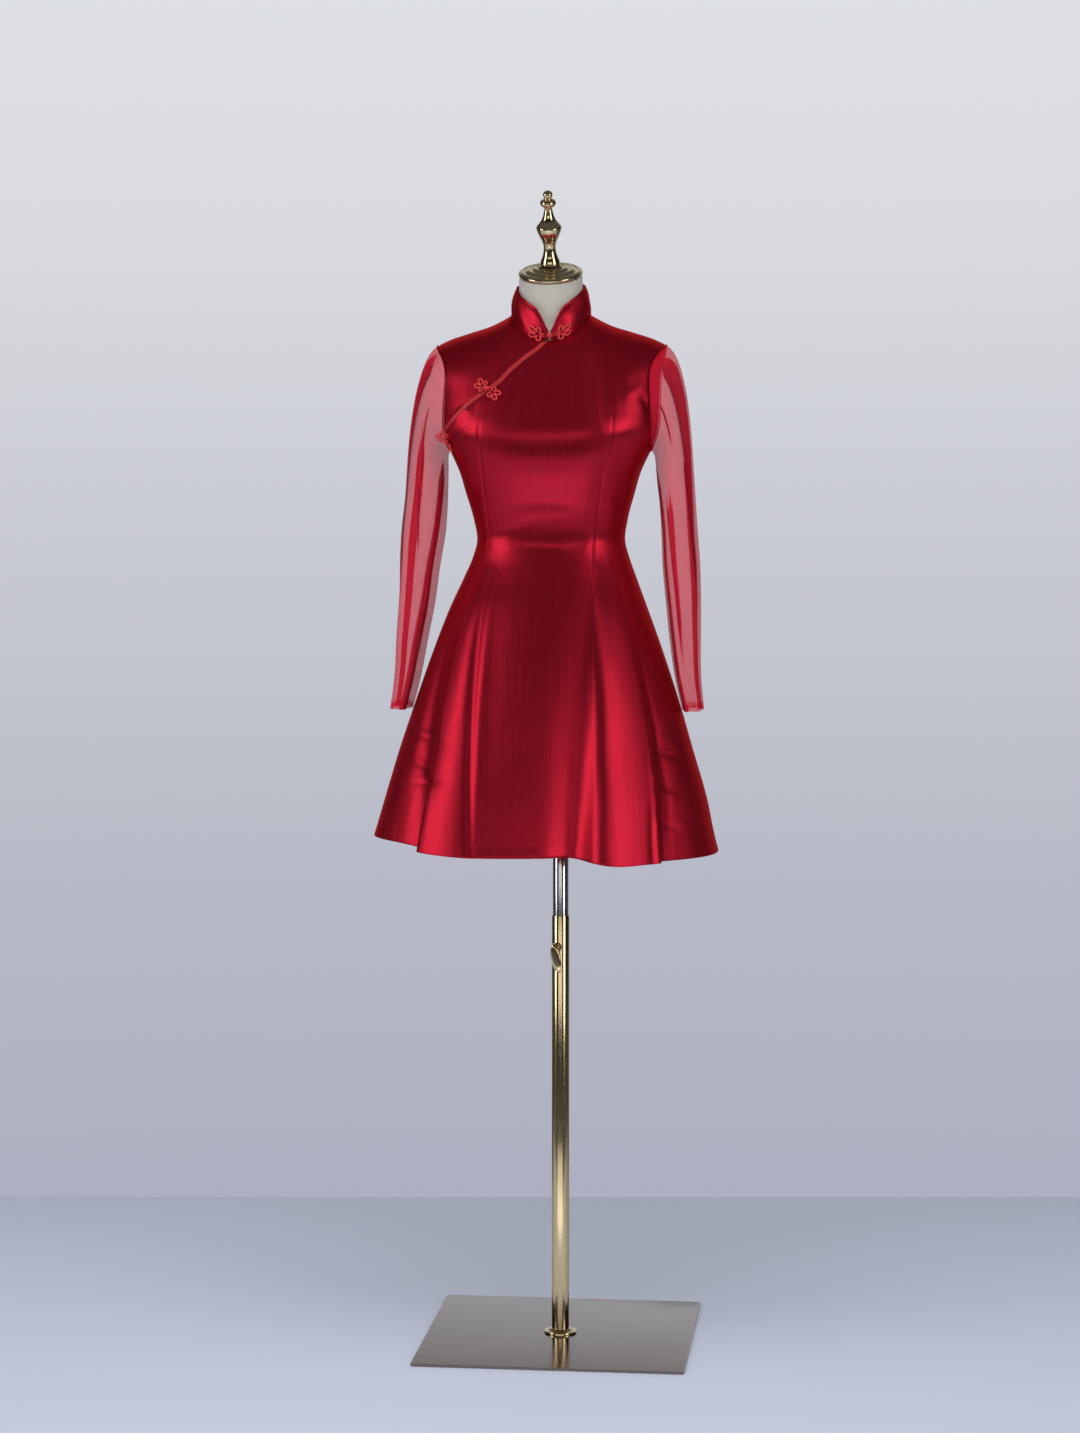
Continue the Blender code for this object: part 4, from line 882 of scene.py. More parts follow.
def make_satin(name):
    """Heavy satin: floating threads down the cloth, soft slubs and a red sheen."""
    material, tree, shader = new_material(name)
    colour = tuple(colours().satin)
    streaks = add(tree, "ShaderNodeTexNoise", Scale=1.0, Detail=4.0, Roughness=0.6)
    link(tree, coordinates(tree, "UV", (420.0, 9.0, 1.0)), streaks.inputs["Vector"])
    tone = ramp(tree, streaks.outputs["Fac"], [(0.30, shade(colour, 0.86)), (0.72, shade(colour, 1.12))])
    link(tree, tone, shader.inputs["Base Color"])
    gloss = add(tree, "ShaderNodeMapRange", To_Min=0.32, To_Max=0.42)
    link(tree, streaks.outputs["Fac"], gloss.inputs["Value"])
    link(tree, gloss.outputs["Result"], shader.inputs["Roughness"])
    threads = add(tree, "ShaderNodeTexNoise", Scale=1.0, Detail=2.0)
    link(tree, coordinates(tree, "UV", (2600.0, 240.0, 1.0)), threads.inputs["Vector"])
    weave = bump(tree, threads.outputs["Fac"], 0.25, 0.0001)
    crinkle = add(tree, "ShaderNodeTexNoise", Scale=55.0, Detail=3.0, Roughness=0.5)
    link(tree, coordinates(tree, "Object", (1.0, 1.0, 0.35)), crinkle.inputs["Vector"])
    soft = bump(tree, crinkle.outputs["Fac"], 0.30, 0.0012, weave)
    link(tree, soft, shader.inputs["Normal"])
    around = add(tree, "ShaderNodeTangent", direction_type="UV_MAP", uv_map="cloth")
    link(tree, around.outputs["Tangent"], shader.inputs["Tangent"])
    shader.inputs["Anisotropic"].default_value = 0.58
    shader.inputs["Metallic"].default_value = 0.90
    shader.inputs["Specular Tint"].default_value = (1.0, 0.10, 0.16, 1.0)
    shader.inputs["Sheen Weight"].default_value = 0.06
    shader.inputs["Sheen Roughness"].default_value = 0.4
    shader.inputs["Sheen Tint"].default_value = (1.0, 0.12, 0.18, 1.0)
    return material


def net():
    return known("net_sheer", make_net)


def make_net(name):
    """Fine sheer net: a mesh of threads, most of it open."""
    material, tree, shader = new_material(name)
    colour = tuple(colours().net)
    folded = add(tree, "ShaderNodeAttribute", attribute_name="folded").outputs["Fac"]
    # Where the net is folded it is painted darker, as painted shade inside the laps; the laps also get more
    # alpha for their extra layers of net
    link(tree, ramp(tree, folded, [(0.0, colour), (1.0, shade(colour, 0.50))]), shader.inputs["Base Color"])
    holes = add(tree, "ShaderNodeTexVoronoi", feature="DISTANCE_TO_EDGE", Scale=1.0, Randomness=0.25)
    link(tree, coordinates(tree, "UV", (900.0, 900.0, 1.0)), holes.inputs["Vector"])
    thread = add(tree, "ShaderNodeMapRange", From_Min=0.02, From_Max=0.16, To_Min=0.48, To_Max=0.24)
    link(tree, holes.outputs["Distance"], thread.inputs["Value"])
    closer = add(tree, "ShaderNodeMath", operation="MULTIPLY_ADD")
    closer.inputs[1].default_value = 0.26
    link(tree, folded, closer.inputs[0])
    link(tree, thread.outputs["Result"], closer.inputs[2])
    link(tree, closer.outputs["Value"], shader.inputs["Alpha"])
    shader.inputs["Roughness"].default_value = 0.6
    shader.inputs["Specular IOR Level"].default_value = 0.0
    return material


def trim():
    return known("trim_satin", lambda name: bias_satin(name, tuple(colours().trim)))


def cord_satin():
    # Painted brighter than the binding's satin, as painted highlight on the rounded cord
    return known("cord_satin", lambda name: bias_satin(name, tuple(colours().cord)))


def bias_satin(name, colour):
    """Bias-cut satin of the binding and cords: threads run across it on the slant."""
    material, tree, shader = new_material(name)
    mapped = coordinates(tree, "UV", (1.0, 1.0, 1.0))
    slant = add(tree, "ShaderNodeTexWave", bands_direction="DIAGONAL", Scale=420.0, Distortion=1.5)
    link(tree, mapped, slant.inputs["Vector"])
    tone = ramp(tree, slant.outputs["Fac"], [(0.0, shade(colour, 0.75)), (1.0, shade(colour, 1.15))])
    link(tree, tone, shader.inputs["Base Color"])
    link(tree, bump(tree, slant.outputs["Fac"], 0.35, 0.0002), shader.inputs["Normal"])
    shader.inputs["Roughness"].default_value = 0.42
    shader.inputs["Metallic"].default_value = 0.40
    shader.inputs["Sheen Weight"].default_value = 0.15
    shader.inputs["Sheen Tint"].default_value = (1.0, 0.20, 0.24, 1.0)
    return material


def jersey():
    return known("jersey_cover", make_jersey)


def make_jersey(name):
    """The form's knitted cover: fine ribs of stitches."""
    material, tree, shader = new_material(name)
    colour = tuple(colours().jersey)
    cloudy = add(tree, "ShaderNodeTexNoise", Scale=14.0, Detail=3.0)
    link(tree, coordinates(tree, "Object", (1.0, 1.0, 1.0)), cloudy.inputs["Vector"])
    tone = ramp(tree, cloudy.outputs["Fac"], [(0.3, shade(colour, 0.93)), (0.7, shade(colour, 1.05))])
    link(tree, tone, shader.inputs["Base Color"])
    ribs = add(tree, "ShaderNodeTexWave", wave_type="BANDS", bands_direction="X", Scale=300.0, Distortion=2.0)
    ribs.inputs["Detail"].default_value = 1.0
    link(tree, coordinates(tree, "UV", (1.0, 0.6, 1.0)), ribs.inputs["Vector"])
    link(tree, bump(tree, ribs.outputs["Fac"], 0.3, 0.0003), shader.inputs["Normal"])
    shader.inputs["Roughness"].default_value = 0.88
    shader.inputs["Sheen Weight"].default_value = 0.25
    return material


def metal(name, colour, roughness, spread):
    """Polished metal with faint turning marks and wear."""
    material, tree, shader = new_material(name)
    shader.inputs["Base Color"].default_value = (*colour, 1.0)
    shader.inputs["Metallic"].default_value = 1.0
    wear = add(tree, "ShaderNodeTexNoise", Scale=35.0, Detail=5.0, Roughness=0.65)
    link(tree, coordinates(tree, "Object", (1.0, 1.0, 3.0)), wear.inputs["Vector"])
    gloss = add(tree, "ShaderNodeMapRange", To_Min=roughness - spread, To_Max=roughness + spread)
    link(tree, wear.outputs["Fac"], gloss.inputs["Value"])
    link(tree, gloss.outputs["Result"], shader.inputs["Roughness"])
    marks = add(tree, "ShaderNodeTexNoise", Scale=1.0, Detail=2.0)
    link(tree, coordinates(tree, "Object", (30.0, 30.0, 900.0)), marks.inputs["Vector"])
    link(tree, bump(tree, marks.outputs["Fac"], 0.05, 0.0001), shader.inputs["Normal"])
    return material


def gold():
    return known("gold_polished", lambda name: metal(name, tuple(colours().gold), 0.13, 0.04))


def steel():
    return known("steel_polished", lambda name: metal(name, tuple(colours().steel), 0.11, 0.04))


def plate_metal():
    return known("plate_tinted", lambda name: metal(name, tuple(colours().plate), 0.16, 0.05))


# Sewing


def swept(name, points, outs, radius, sides, material, flat=1.0, closed=False, taper=0.0):
    """A round cord swept along points, kept upright to the cloth under it."""
    points, outs = np.asarray(points), np.asarray(outs)
    if closed:
        ahead = np.roll(points, -1, axis=0) - np.roll(points, 1, axis=0)
    else:
        ahead = np.gradient(points, axis=0)
    aside = unit(np.cross(ahead, outs))
    lift = unit(np.cross(aside, ahead))
    turn = np.linspace(0.0, 2 * math.pi, sides, endpoint=False)
    size = np.full(len(points), radius)
    if taper:
        share = np.linspace(0.0, 1.0, len(points))
        size = radius * np.clip(np.minimum(share, 1 - share) / taper, 0.05, 1.0) ** 0.5
    ring = aside[:, None] * np.cos(turn)[:, None] + lift[:, None] * flat * np.sin(turn)[:, None]
    rings = points[:, None] + ring * size[:, None, None]
    run = np.concatenate([[0.0], np.cumsum(np.linalg.norm(np.diff(points, axis=0), axis=1))])
    u = np.linspace(0.0, 2 * math.pi * radius, sides + 1)
    uv = np.stack(np.broadcast_arrays(run[:, None], u[None, :]), axis=-1)
    if closed:
        rings = np.concatenate([rings, rings[:1]])
        uv = np.concatenate([uv, uv[-1:] + np.array([0.001, 0.0])])
    obj = grid_object(name, rings, uv, closed=True)
    close_ends(obj)
    obj.data.materials.append(material)
    return obj


def joined(name, objs):
    """One mesh object from several of the same material."""
    whole = bmesh.new()
    for obj in objs:
        whole.from_mesh(obj.data)
    mesh = objs[0].data
    whole.to_mesh(mesh)
    whole.free()
    first = objs[0]
    for obj in objs[1:]:
        bpy.data.objects.remove(obj)
    first.name = name
    mesh.name = name
    mesh.shade_smooth()
    return first


def stitch_tree():
    """Stitches laid end to end along a path: the node tree, with its sizes as named inputs."""
    tree = bpy.data.node_groups.get("running_stitches")
    if tree:
        return tree
    tree = bpy.data.node_groups.new("running_stitches", "GeometryNodeTree")
    inputs = {
        "Geometry": "Geometry",
        "Step": "Float",
        "Stitch Length": "Float",
        "Thread": "Float",
        "Unevenness": "Float",
        "Seed": "Int",
        "Material": "Material",
    }
    for name, kind in inputs.items():
        tree.interface.new_socket(name, in_out="INPUT", socket_type="NodeSocket" + kind)
    tree.interface.new_socket("Geometry", in_out="OUTPUT", socket_type="NodeSocketGeometry")
    inlet = add(tree, "NodeGroupInput")
    outlet = add(tree, "NodeGroupOutput")
    curve = add(tree, "GeometryNodeMeshToCurve")
    even = add(tree, "GeometryNodeResampleCurve", mode="LENGTH")
    thread = add(tree, "GeometryNodeMeshUVSphere", Segments=6, Rings=5, Radius=1.0)
    size = add(tree, "ShaderNodeCombineXYZ")
    half = add(tree, "ShaderNodeMath", operation="MULTIPLY")
    slim = add(tree, "ShaderNodeMath", operation="MULTIPLY")
    least = add(tree, "ShaderNodeMath", operation="SUBTRACT")
    shaped = add(tree, "GeometryNodeTransform")
    tangent = add(tree, "GeometryNodeInputTangent")
    aimed = add(tree, "FunctionNodeAlignRotationToVector", axis="Z")
    laid = add(tree, "GeometryNodeInstanceOnPoints")
    uneven = add(tree, "FunctionNodeRandomValue", data_type="FLOAT")
    real = add(tree, "GeometryNodeRealizeInstances")
    finish = add(tree, "GeometryNodeSetMaterial")
    half.inputs[1].default_value = 0.5
    slim.inputs[1].default_value = 0.5
    least.inputs[0].default_value = 1.0
    uneven.inputs[3].default_value = 1.0
    for source, out, target, into in (
        (inlet, "Geometry", curve, "Mesh"),
        (curve, "Curve", even, "Curve"),
        (inlet, "Step", even, "Length"),
        (inlet, "Stitch Length", half, 0),
        (inlet, "Thread", slim, 0),
        (slim, 0, size, "X"),
        (slim, 0, size, "Y"),
        (half, 0, size, "Z"),
        (thread, "Mesh", shaped, "Geometry"),
        (size, 0, shaped, "Scale"),
        (even, "Curve", laid, "Points"),
        (shaped, "Geometry", laid, "Instance"),
        (tangent, "Tangent", aimed, "Vector"),
        (aimed, "Rotation", laid, "Rotation"),
        (inlet, "Unevenness", least, 1),
        (least, 0, uneven, 2),
        (inlet, "Seed", uneven, "Seed"),
        (uneven, 1, laid, "Scale"),
        (laid, "Instances", real, "Geometry"),
        (real, "Geometry", finish, "Geometry"),
        (inlet, "Material", finish, "Material"),
        (finish, "Geometry", outlet, "Geometry"),
    ):
        link(tree, source.outputs[out], target.inputs[into])
    return tree


def stitched(name, paths, material, step=None):
    """Stitches along each path of world points, as one plain mesh."""
    mesh = bpy.data.meshes.new(name)
    verts, edges = [], []
    for path in paths:
        first = len(verts)
        verts += [tuple(p) for p in np.asarray(path) + AXIS]
        edges += [(i, i + 1) for i in range(first, len(verts) - 1)]
    mesh.from_pydata(verts, edges, [])
    obj = placed(name, mesh)
    tree = stitch_tree()
    laid = obj.modifiers.new("stitches", "NODES")
    laid.node_group = tree
    values = {
        "Step": step or sizes().stitch_step,
        "Stitch Length": sizes().stitch_length,
        "Thread": sizes().thread,
        "Unevenness": 0.2,
        "Seed": 7,
        "Material": material,
    }
    for item in tree.interface.items_tree:
        if item.in_out == "INPUT" and item.name in values:
            laid[item.identifier] = values[item.name]
    bpy.context.view_layer.update()
    made = obj.evaluated_get(bpy.context.evaluated_depsgraph_get())
    plain = bpy.data.meshes.new_from_object(made)
    obj.modifiers.clear()
    obj.data = plain
    plain.name = name
    plain.shade_smooth()
    return obj


# Turned and cut metal


def smooth_profile(profile, per):
    """More points on a smooth line through a turned profile."""
    points = np.array(profile, dtype=float)
    run = np.concatenate([[0.0], np.cumsum(np.linalg.norm(np.diff(points, axis=0), axis=1))])
    slopes = np.gradient(points, run, axis=0)
    out = []
    for i in range(len(points) - 1):
        step = run[i + 1] - run[i]
        corner = points[i + 1][0] == 0 or points[i][0] == 0
        for k in range(per):
            t = k / per
            h = t * t * (3 - 2 * t)
            bend = t * (1 - t) ** 2 * step * slopes[i] - t * t * (1 - t) * step * slopes[i + 1]
            out.append(points[i] * (1 - h) + points[i + 1] * h + (0 if corner else bend))
    out.append(points[-1])
    return np.array(out)


def turned(name, profile, material, lift=0.0, segments=72):
    """A turned piece from its profile, top to bottom down the outer side."""
    mesh = bpy.data.meshes.new(name)
    lathe = bmesh.new()
    rings = []
    for radius, height in profile:
        if radius < 1e-6:
            rings.append([lathe.verts.new((0.0, 0.0, height + lift))])
            continue
        ring = []
        for k in range(segments):
            a = 2 * math.pi * k / segments
            ring.append(lathe.verts.new((radius * math.cos(a), radius * math.sin(a), height + lift)))
        rings.append(ring)
    if len(rings[0]) > 1:
        rings.append(rings[0])
    for high, low in zip(rings, rings[1:]):
        for k in range(segments):
            j = (k + 1) % segments
            corners = [high[k % len(high)], low[k % len(low)], low[j % len(low)], high[j % len(high)]]
            corners = [v for i, v in enumerate(corners) if v not in corners[:i]]
            if len(corners) > 2:
                lathe.faces.new(corners)
    bmesh.ops.recalc_face_normals(lathe, faces=lathe.faces)
    lathe.to_mesh(mesh)
    lathe.free()
    mesh.shade_smooth()
    mesh.set_sharp_from_angle(angle=math.radians(35))
    mesh.materials.append(material)
    return placed(name, mesh)


def moved(obj, matrix):
    """Puts a piece's place into its mesh."""
    obj.data.transform(matrix)
    obj.data.update()
    return obj


def rounded(low, high, inner, outer, soft=0.0004):
    """The profile of a ring with eased edges."""
    return [
        (inner, high - soft),
        (inner + soft, high),
        (outer - soft, high),
        (outer - soft * 0.3, high - soft * 0.3),
        (outer, high - soft),
        (outer, low + soft),
        (outer - soft, low),
        (inner + soft, low),
        (inner, low + soft),
    ]


def on_form(obj, slot, *nodes):
    """A piece that rides on the form, in place of its nodes; its slot is not used."""
    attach(obj, "form")
    if nodes:
        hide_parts(*nodes)
    return obj


# Operators


class CHEONGSAM_OT_front(Operator):
    """Makes the front with its overlap, and the small underlap behind the opening"""

    bl_idname = "cheongsam.front"
    bl_label = "Front and underlap"

    def execute(self, context):
        count = sizes().columns
        lines = np.linspace(-1.0, 1.0, count)
        top = np.full(count, TOP_EDGE)
        right = lines < -1e-6
        top[right] = opening_height(lines[right]) - opening_clear(lines[right])
        front = panel("front", lines, hem_height(lines, -1), top, -1, FRONT_CREASES)
        on_form(front, "red_satin", "front_panel")

        lines = np.linspace(-1.0, UNDERLAP_END, count // 2)
        bottom = opening_height(lines) + opening_clear(lines)
        top = np.full(len(lines), TOP_EDGE)
        under = panel("underlap", lines, bottom, top, -1, FRONT_CREASES, upper=56)
        on_form(under, "red_satin", "front_underlap")
        return {"FINISHED"}


class CHEONGSAM_OT_back(Operator):
    """Makes the back in one piece"""

    bl_idname = "cheongsam.back"
    bl_label = "Back"

    def execute(self, context):
        lines = np.linspace(-1.0, 1.0, sizes().columns)
        top = np.full(len(lines), TOP_EDGE)
        back = panel("back", lines, hem_height(lines, 1), top, 1, BACK_CREASES, 130, 44)
        on_form(back, "red_satin", "back_panel")
        return {"FINISHED"}


def armhole_loop(sign, count):
    """The armhole from the underarm, up the front, over the shoulder and down the back."""
    half = count // 2
    front = shell_point(np.full(half + 1, sign), np.linspace(UNDERARM, TOP, half + 1), -1)
    back = shell_point(np.full(half + 1, sign), np.linspace(TOP, UNDERARM, half + 1), 1)
    return np.concatenate([front, back[1:-1]])


def sleeve_points(sign, folds, count=240, turns=30, levels=110):
    """The sleeve's net: out from the armhole, down to the cuff, with its folds lapped."""
    side = "right" if sign < 0 else "left"
    a = np.linspace(0.0, 2 * math.pi, count, endpoint=False)
    start = armhole_loop(sign, count) + np.array([sign * SLEEVE_GAP, 0.0, 0.0])

    def ring(z, angle=a, out=0.0):
        x = column(SLEEVE, "z", z, side + "_x")
        wide = column(SLEEVE, "z", z, side + "_wide") + out
        deep = column(SLEEVE, "z", z, "deep") + out
        y = column(SLEEVE, "z", z, "y")
        fade = min(1.0, (SLEEVE[-1].z - z) / 0.10)
        wave = 1 + fade * 0.0022 / wide * np.cos(5 * angle + 1.0)
        px = sign * x - sign * wide * wave * np.cos(angle)
        py = y - deep * wave * np.sin(angle)
        return np.stack([px, py, np.full(len(angle), z)], axis=-1)

    def lapped(z):
        """The angle and lift of each point once the folds lap the net over itself, and how folded it is."""
        angle, lift, folded = a.copy(), np.zeros(count), np.zeros(count)
        for fold in folds:
            t = (fold.top - z) / (fold.top - fold.bottom)
            opens = 0.0 if fold.bottom < SLEEVE[1].z else 1.0
            grow = np.clip(t / 0.12, 0.0, 1.0) * np.clip((1.0 - t * opens) / 0.25, 0.0, 1.0)
            if grow <= 0:
                continue
            centre = math.radians(fold.angle + (fold.to_angle - fold.angle) * t)
            width = math.radians(fold.lap + (fold.to_lap - fold.lap) * t)
            d = (a - centre) / width
            angle -= grow * LAP * width * d * np.exp(-(d**2))
            lift += grow * fold.rise * d * np.exp(-((d / 1.5) ** 2))
            folded += grow * np.exp(-((d / 1.2) ** 4))
        return angle, lift, folded

    def around(row, angle, lift):
        """A closed row of points read at other angles round it, and lifted off its middle."""
        places = np.append(a, 2 * math.pi)
        read = [np.interp(angle % (2 * math.pi), places, np.append(line, line[0])) for line in row.T]
        spot = np.stack(read, axis=-1)
        return spot + unit(spot - row.mean(axis=0)) * lift[:, None]

    top = SLEEVE[-1].z
    first, second = ring(top), ring(top - 0.02)
    over = 0.5 - 0.5 * np.cos(a)
    reach = np.linalg.norm(first - start, axis=1, keepdims=True)
    leave = unit(np.stack([np.full(count, sign), 0 * over, -0.15 - 0.65 * over**4], axis=-1))
    leave = start + leave * reach * 0.20
    arrive = first - unit(second - first) * reach * 0.40
    rows, folds_at = [], []
    for t in np.linspace(0, 1, turns):
        row = bezier(start, leave, arrive, first, np.full(count, t))
        angle, lift, folded = lapped(top + (1 - t) * (CHEST + 0.05 - top))
        rows.append(around(row, angle, lift))
        folds_at.append(folded)
    gather = np.cos(46 * a) * over**2
    for i, row in enumerate(rows):
        fade = math.exp(-((i / turns - 0.12) ** 2) / 0.02)
        row += np.array([sign, -0.3, 0.6]) * (0.0005 * fade * gather)[:, None]
    for z in np.linspace(top, SLEEVE[0].z, levels)[1:]:
        angle, lift, folded = lapped(z)
        rows.append(ring(z, angle, lift))
        folds_at.append(folded)
    end = SLEEVE[0].z
    hem = sizes().cuff_hem
    turned_in = [(0.0003, -0.0006), (0.0009, -0.0009), (0.0015, -0.0004), (0.0016, hem / 2), (0.0016, hem)]
    for inward, up in turned_in:
        row = ring(end, angle, lift - inward)
        row[:, 2] += up
        rows.append(row)
        folds_at.append(folded)
    return np.array(rows), np.array(folds_at)


class CHEONGSAM_OT_sleeves(Operator):
    """Makes the two sheer sleeves with their lapped folds, turned cuffs and armhole seams"""

    bl_idname = "cheongsam.sleeves"
    bl_label = "Sheer sleeves"

    def execute(self, context):
        for name, sign, folds in (("right", -1, RIGHT_FOLDS), ("left", 1, LEFT_FOLDS)):
            points, folded = sleeve_points(sign, folds)
            looped = np.concatenate([points, points[:, :1]], axis=1)
            sleeve = grid_object("sleeve_" + name, points, lengths(looped), closed=True, flip=sign > 0)
            # How folded the net is: the material makes these laps denser, and paints them darker as painted
            # shade
            crowd = sleeve.data.attributes.new("folded", "FLOAT", "POINT")
            crowd.data.foreach_set("value", np.minimum(folded, 1.0).ravel().astype(np.float32))
            sleeve = walled(sleeve, sizes().net_wall, net(), round_edges=False)
            sleeve.name = "sheer_sleeve_" + name
            on_form(sleeve, "red_net", "sleeve_" + name)

            loop = armhole_loop(sign, 200)
            seam = loop + np.array([sign * SLEEVE_GAP / 2, 0.0, 0.0])
            outs = np.broadcast_to(np.array([sign, 0.0, 0.0]), seam.shape)
            roll = swept("armhole_seam_" + name, seam, outs, 0.0010, 8, satin(), closed=True)
            on_form(roll, "red_satin")

            paths = [np.concatenate([points[-9], points[-9][:1]])]
            thread = stitched("cuff_stitches_" + name, paths, trim(), 0.0034)
            on_form(thread, "red_net")
        return {"FINISHED"}


def collar_point(angle, share):
    """Points of the collar: degrees round from centre front, share of its full height."""
    low = neck_point(angle)
    a = np.radians(angle)
    front = np.cos(a) > 0
    y = -np.cos(a) * np.where(front, COLLAR_FRONT, COLLAR_BACK)
    rise = np.where(front, COLLAR_FRONT_Z, COLLAR_BACK_Z) - COLLAR_SIDE_Z
    z = COLLAR_SIDE_Z + rise * np.abs(np.cos(a)) ** 1.4
    high = np.stack([COLLAR_SIDE * np.sin(a), y, z], axis=-1)
    share = np.broadcast_to(share, np.shape(angle))[..., None]
    swell = np.stack([np.sin(a), -np.cos(a), 0 * a], axis=-1) * 0.0025 * np.sin(np.pi * share)
    lift = np.array([0.0, 0.0, COLLAR_LIFT]) * (1 - share)
    return low + (high - low) * share + swell + lift


class CHEONGSAM_OT_collar(Operator):
    """Makes the stand collar with its turned edge and foot seam"""

    bl_idname = "cheongsam.collar"
    bl_label = "Stand collar"

    def execute(self, context):
        angles = COLLAR_TURN + np.linspace(1.5, 358.5, 260)
        from_front = np.abs((angles - COLLAR_TURN + 180) % 360 - 180)
        cut = column(COLLAR_CUT, "angle", from_front, "share")
        points = np.array([collar_point(angles, level * cut) for level in np.linspace(0.0, 1.0, 26)])
        out = normals_of(points)
        run = np.linspace(0.0, 1.0, 26)[:, None] * cut
        wave = 0.0007 * np.sin(np.radians(angles) * 9 + run * 5) * np.sin(np.pi * np.clip(run, 0, 1))
        edge = 0.0005 * np.exp(-(((cut - run) * 0.050 / 0.0035 - 1.0) ** 2) * 2)
        points = points + out * (wave - edge)[..., None]
        collar = grid_object("collar_stand", points, lengths(points))
        collar = walled(collar, sizes().collar_wall, satin())
        on_form(collar, "red_satin", "collar")
        foot = collar_point(angles, 0.0) + out[0] * -0.0004 + np.array([0.0, 0.0, -0.0004])
        seam = swept("collar_seam", foot, out[0], 0.0009, 8, satin(), taper=0.01)
        on_form(seam, "red_satin")
        return {"FINISHED"}


def on_front(target, share, height, lift):
    """The points of the front nearest some targets, found in a few steps and lifted off the cloth."""
    share = np.broadcast_to(share, target.shape[:-1]) + 0.0
    height = np.broadcast_to(height, target.shape[:-1]) + 0.0
    for _ in range(6):
        here, across, up, out = shell_frame(share, height, -1)
        miss = target - here
        share = share + (miss * across).sum(-1) / (across**2).sum(-1)
        height = height + (miss * up).sum(-1) / (up**2).sum(-1)
        share, height = np.clip(share, -1.0, 1.0), np.minimum(height, TOP)
    here, across, up, out = shell_frame(share, height, -1)
    return here + out * lift, out


class CHEONGSAM_OT_binding(Operator):
    """Makes the bias binding along the opening, with a row of stitches at each edge"""

    bl_idname = "cheongsam.binding"
    bl_label = "Opening binding"

    def execute(self, context):
        share = np.linspace(BINDING_START, UNDERLAP_END, 180)
        height = opening_height(share)
        here, across, up, out = shell_frame(share, height, -1)
        d = 0.004
        ahead = shell_point(share + d, opening_height(share + d), -1)
        behind = shell_point(share - d, opening_height(share - d), -1)
        along = unit(ahead - behind)
        sideways = unit(np.cross(out, along))
        width = sizes().binding_width
        rows, uv_rows = [], []
        run = np.concatenate([[0.0], np.cumsum(np.linalg.norm(np.diff(here, axis=0), axis=1))])
        pucker = np.sin(run / 0.0042 * 2 * math.pi) + 0.6 * np.sin(run / 0.0067 * 2 * math.pi + 1.0)
        profile = [(-0.5, 0.0), (-0.5, 0.45), (-0.47, 0.8), (-0.38, 1.0), (-0.2, 1.15), (0.0, 1.2)]
        profile += [(-p, q) for p, q in profile[-2::-1]]
        for place, rise in profile:
            spot, normal = on_front(here + sideways * (width * place), share, height, 0.0)
            lift = BINDING_LIFT + 0.0012 * rise + 0.00012 * rise * pucker
            rows.append(spot + normal * lift[:, None])
            uv_rows.append(np.stack([run, np.full(len(run), width * place)], axis=-1))
        strip = np.swapaxes(np.array(rows), 0, 1)
        uv = np.swapaxes(np.array(uv_rows + uv_rows[:1]), 0, 1)
        binding = grid_object("bias_binding", strip, uv, closed=True, flip=True)
        close_ends(binding)
        binding.data.materials.append(trim())
        on_form(binding, "satin_cord", "opening_binding")
        paths = []
        for place in (-0.40, 0.40):
            spot, normal = on_front(here + sideways * (width * place), share, height, 0.0)
            paths.append(spot + normal * (BINDING_LIFT + 0.00125))
        thread = stitched("binding_stitches", paths, trim(), 0.0026)
        on_form(thread, "satin_cord")
        return {"FINISHED"}


def close_ends(obj):
    """Closes a tube: joins its doubled points, fills its ends and turns its faces out."""
    shut = bmesh.new()
    shut.from_mesh(obj.data)
    bmesh.ops.remove_doubles(shut, verts=shut.verts, dist=1e-7)
    bmesh.ops.holes_fill(shut, edges=[e for e in shut.edges if e.is_boundary])
    bmesh.ops.recalc_face_normals(shut, faces=shut.faces)
    shut.to_mesh(obj.data)
    shut.free()
    obj.data.shade_smooth()


def flower_path(size, stem, steps=22):
    """One half of a frog in its own plane: a strand from the knot, its looped petals, and back."""
    gap = STRANDS_APART / 2
    start = KNOT * size**0.5 + 0.0005
    points = [(start, gap), ((start + stem * size) / 2, gap), (stem * size, gap)]
    for petal in PETALS:
        for share in np.linspace(0.05, 0.95, steps):
            a = math.radians(petal.turn) + PETAL_SPREAD * math.cos(math.pi * share)
            r = PETAL_NEAR + petal.reach * math.sin(math.pi * share) ** 0.8
            points.append((size * (stem + 0.003 + r * math.cos(a)), size * r * math.sin(a)))
    points += [(stem * size, -gap), ((start + stem * size) / 2, -gap), (start, -gap)]
    return np.array(points)


def knot_path(radius, count=150):
    """A cord plaited round a ball: over, under and over again, back to its start."""
    t = np.linspace(0.0, 2 * math.pi, count, endpoint=False)
    turn, tilt = 3 * t, 1.05 * np.sin(4 * t)
    r = radius * (1.0 + 0.10 * np.cos(8 * t))
    flat = r * np.cos(tilt)
    return np.stack([flat * np.cos(turn), flat * np.sin(turn), r * np.sin(tilt)], axis=-1)


